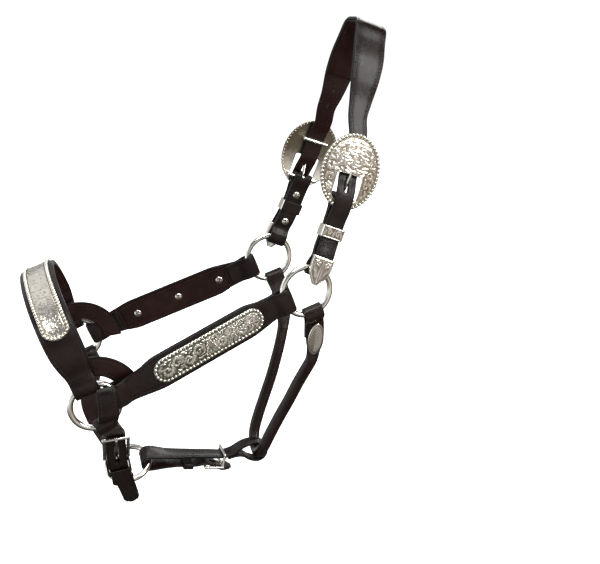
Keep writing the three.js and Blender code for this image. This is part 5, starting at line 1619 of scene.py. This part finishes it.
def stage():
    """A floor and backdrop that the metal doesn't mirror, the studio that it does, and six soft lamps."""
    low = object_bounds()[0][2]
    bpy.ops.mesh.primitive_plane_add(size=FLOOR_SIZE, location=(0, 0, low - FLOOR_GAP))
    floor = bpy.context.object
    floor.name = "floor"
    floor.data.materials.append(glowing("pale_floor", 3.0, [(0.3, (0.86,) * 3), (0.7, (0.9,) * 3)], 0.93, 0.9))
    floor.visible_glossy = False
    floor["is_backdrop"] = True
    bpy.ops.mesh.primitive_uv_sphere_add(radius=BACKDROP_RADIUS, segments=64, ring_count=32)
    backdrop = bpy.context.object
    backdrop.name = "backdrop"
    backdrop.data.materials.append(glowing("white_backdrop", 2.0, [(0.0, (0.02,) * 3), (1.0, (0.03,) * 3)], 1.0))
    backdrop.visible_glossy = backdrop.visible_diffuse = False
    backdrop.visible_shadow = backdrop.visible_transmission = False
    backdrop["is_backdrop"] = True
    world = bpy.data.worlds.new("studio")
    bpy.context.scene.world = world
    world.use_nodes = True
    tree = world.node_tree
    back = tree.nodes["Background"]
    split = node(tree, "ShaderNodeSeparateXYZ")
    tree.links.new(node(tree, "ShaderNodeTexCoord").outputs["Generated"], split.inputs[0])
    half = lambda axis: maths(tree, "ADD", maths(tree, "MULTIPLY", split.outputs[axis], 0.5), 0.5)
    tall = half("Z")
    # What the metal mirrors: a pale studio floor below and a dim room above.
    room = ramp(tree, tall, [(0.0, (0.05,) * 3), (0.18, (0.12, 0.12, 0.115)), (0.28, (0.34, 0.34, 0.33)),
                             (0.36, (0.88, 0.87, 0.85)), (0.48, (0.60,) * 3), (0.56, (0.30, 0.30, 0.31)),
                             (0.70, (0.12, 0.12, 0.13)), (1.0, (0.26, 0.26, 0.27))])
    warm = ramp(tree, half("X"), [(0.0, (1, 1, 1)), (0.66, (1, 1, 1)), (0.80, (0.62, 0.47, 0.36)),
                                  (1.0, (0.40, 0.29, 0.22))])
    sky = mix(tree, 1.0, room, warm, "MULTIPLY")
    tree.links.new(sky, back.inputs["Color"])
    back.inputs["Strength"].default_value = 1.0
    aim = Vector(LAMP_AIM)
    for name, place, size, watts in LAMPS:
        light = bpy.data.lights.new(name, "AREA")
        light.energy, light.size = watts, size
        lamp = bpy.data.objects.new(name, light)
        lamp.location = Vector(place)
        lamp.rotation_euler = (aim - lamp.location).to_track_quat("-Z", "Y").to_euler()
        bpy.context.scene.collection.objects.link(lamp)


def camera():
    data = bpy.data.cameras.new("camera")
    data.lens, data.sensor_width = CAMERA_LENS, 36.0
    data.clip_start = 0.01
    made = bpy.data.objects.new("camera", data)
    made.location = CAMERA_AT
    made.rotation_euler = Vector(CAMERA_LOOK).to_track_quat("-Z", "Y").to_euler()
    bpy.context.scene.collection.objects.link(made)
    bpy.context.scene.camera = made


bpy.context.scene.view_settings.view_transform = "Standard"
stage()
camera()
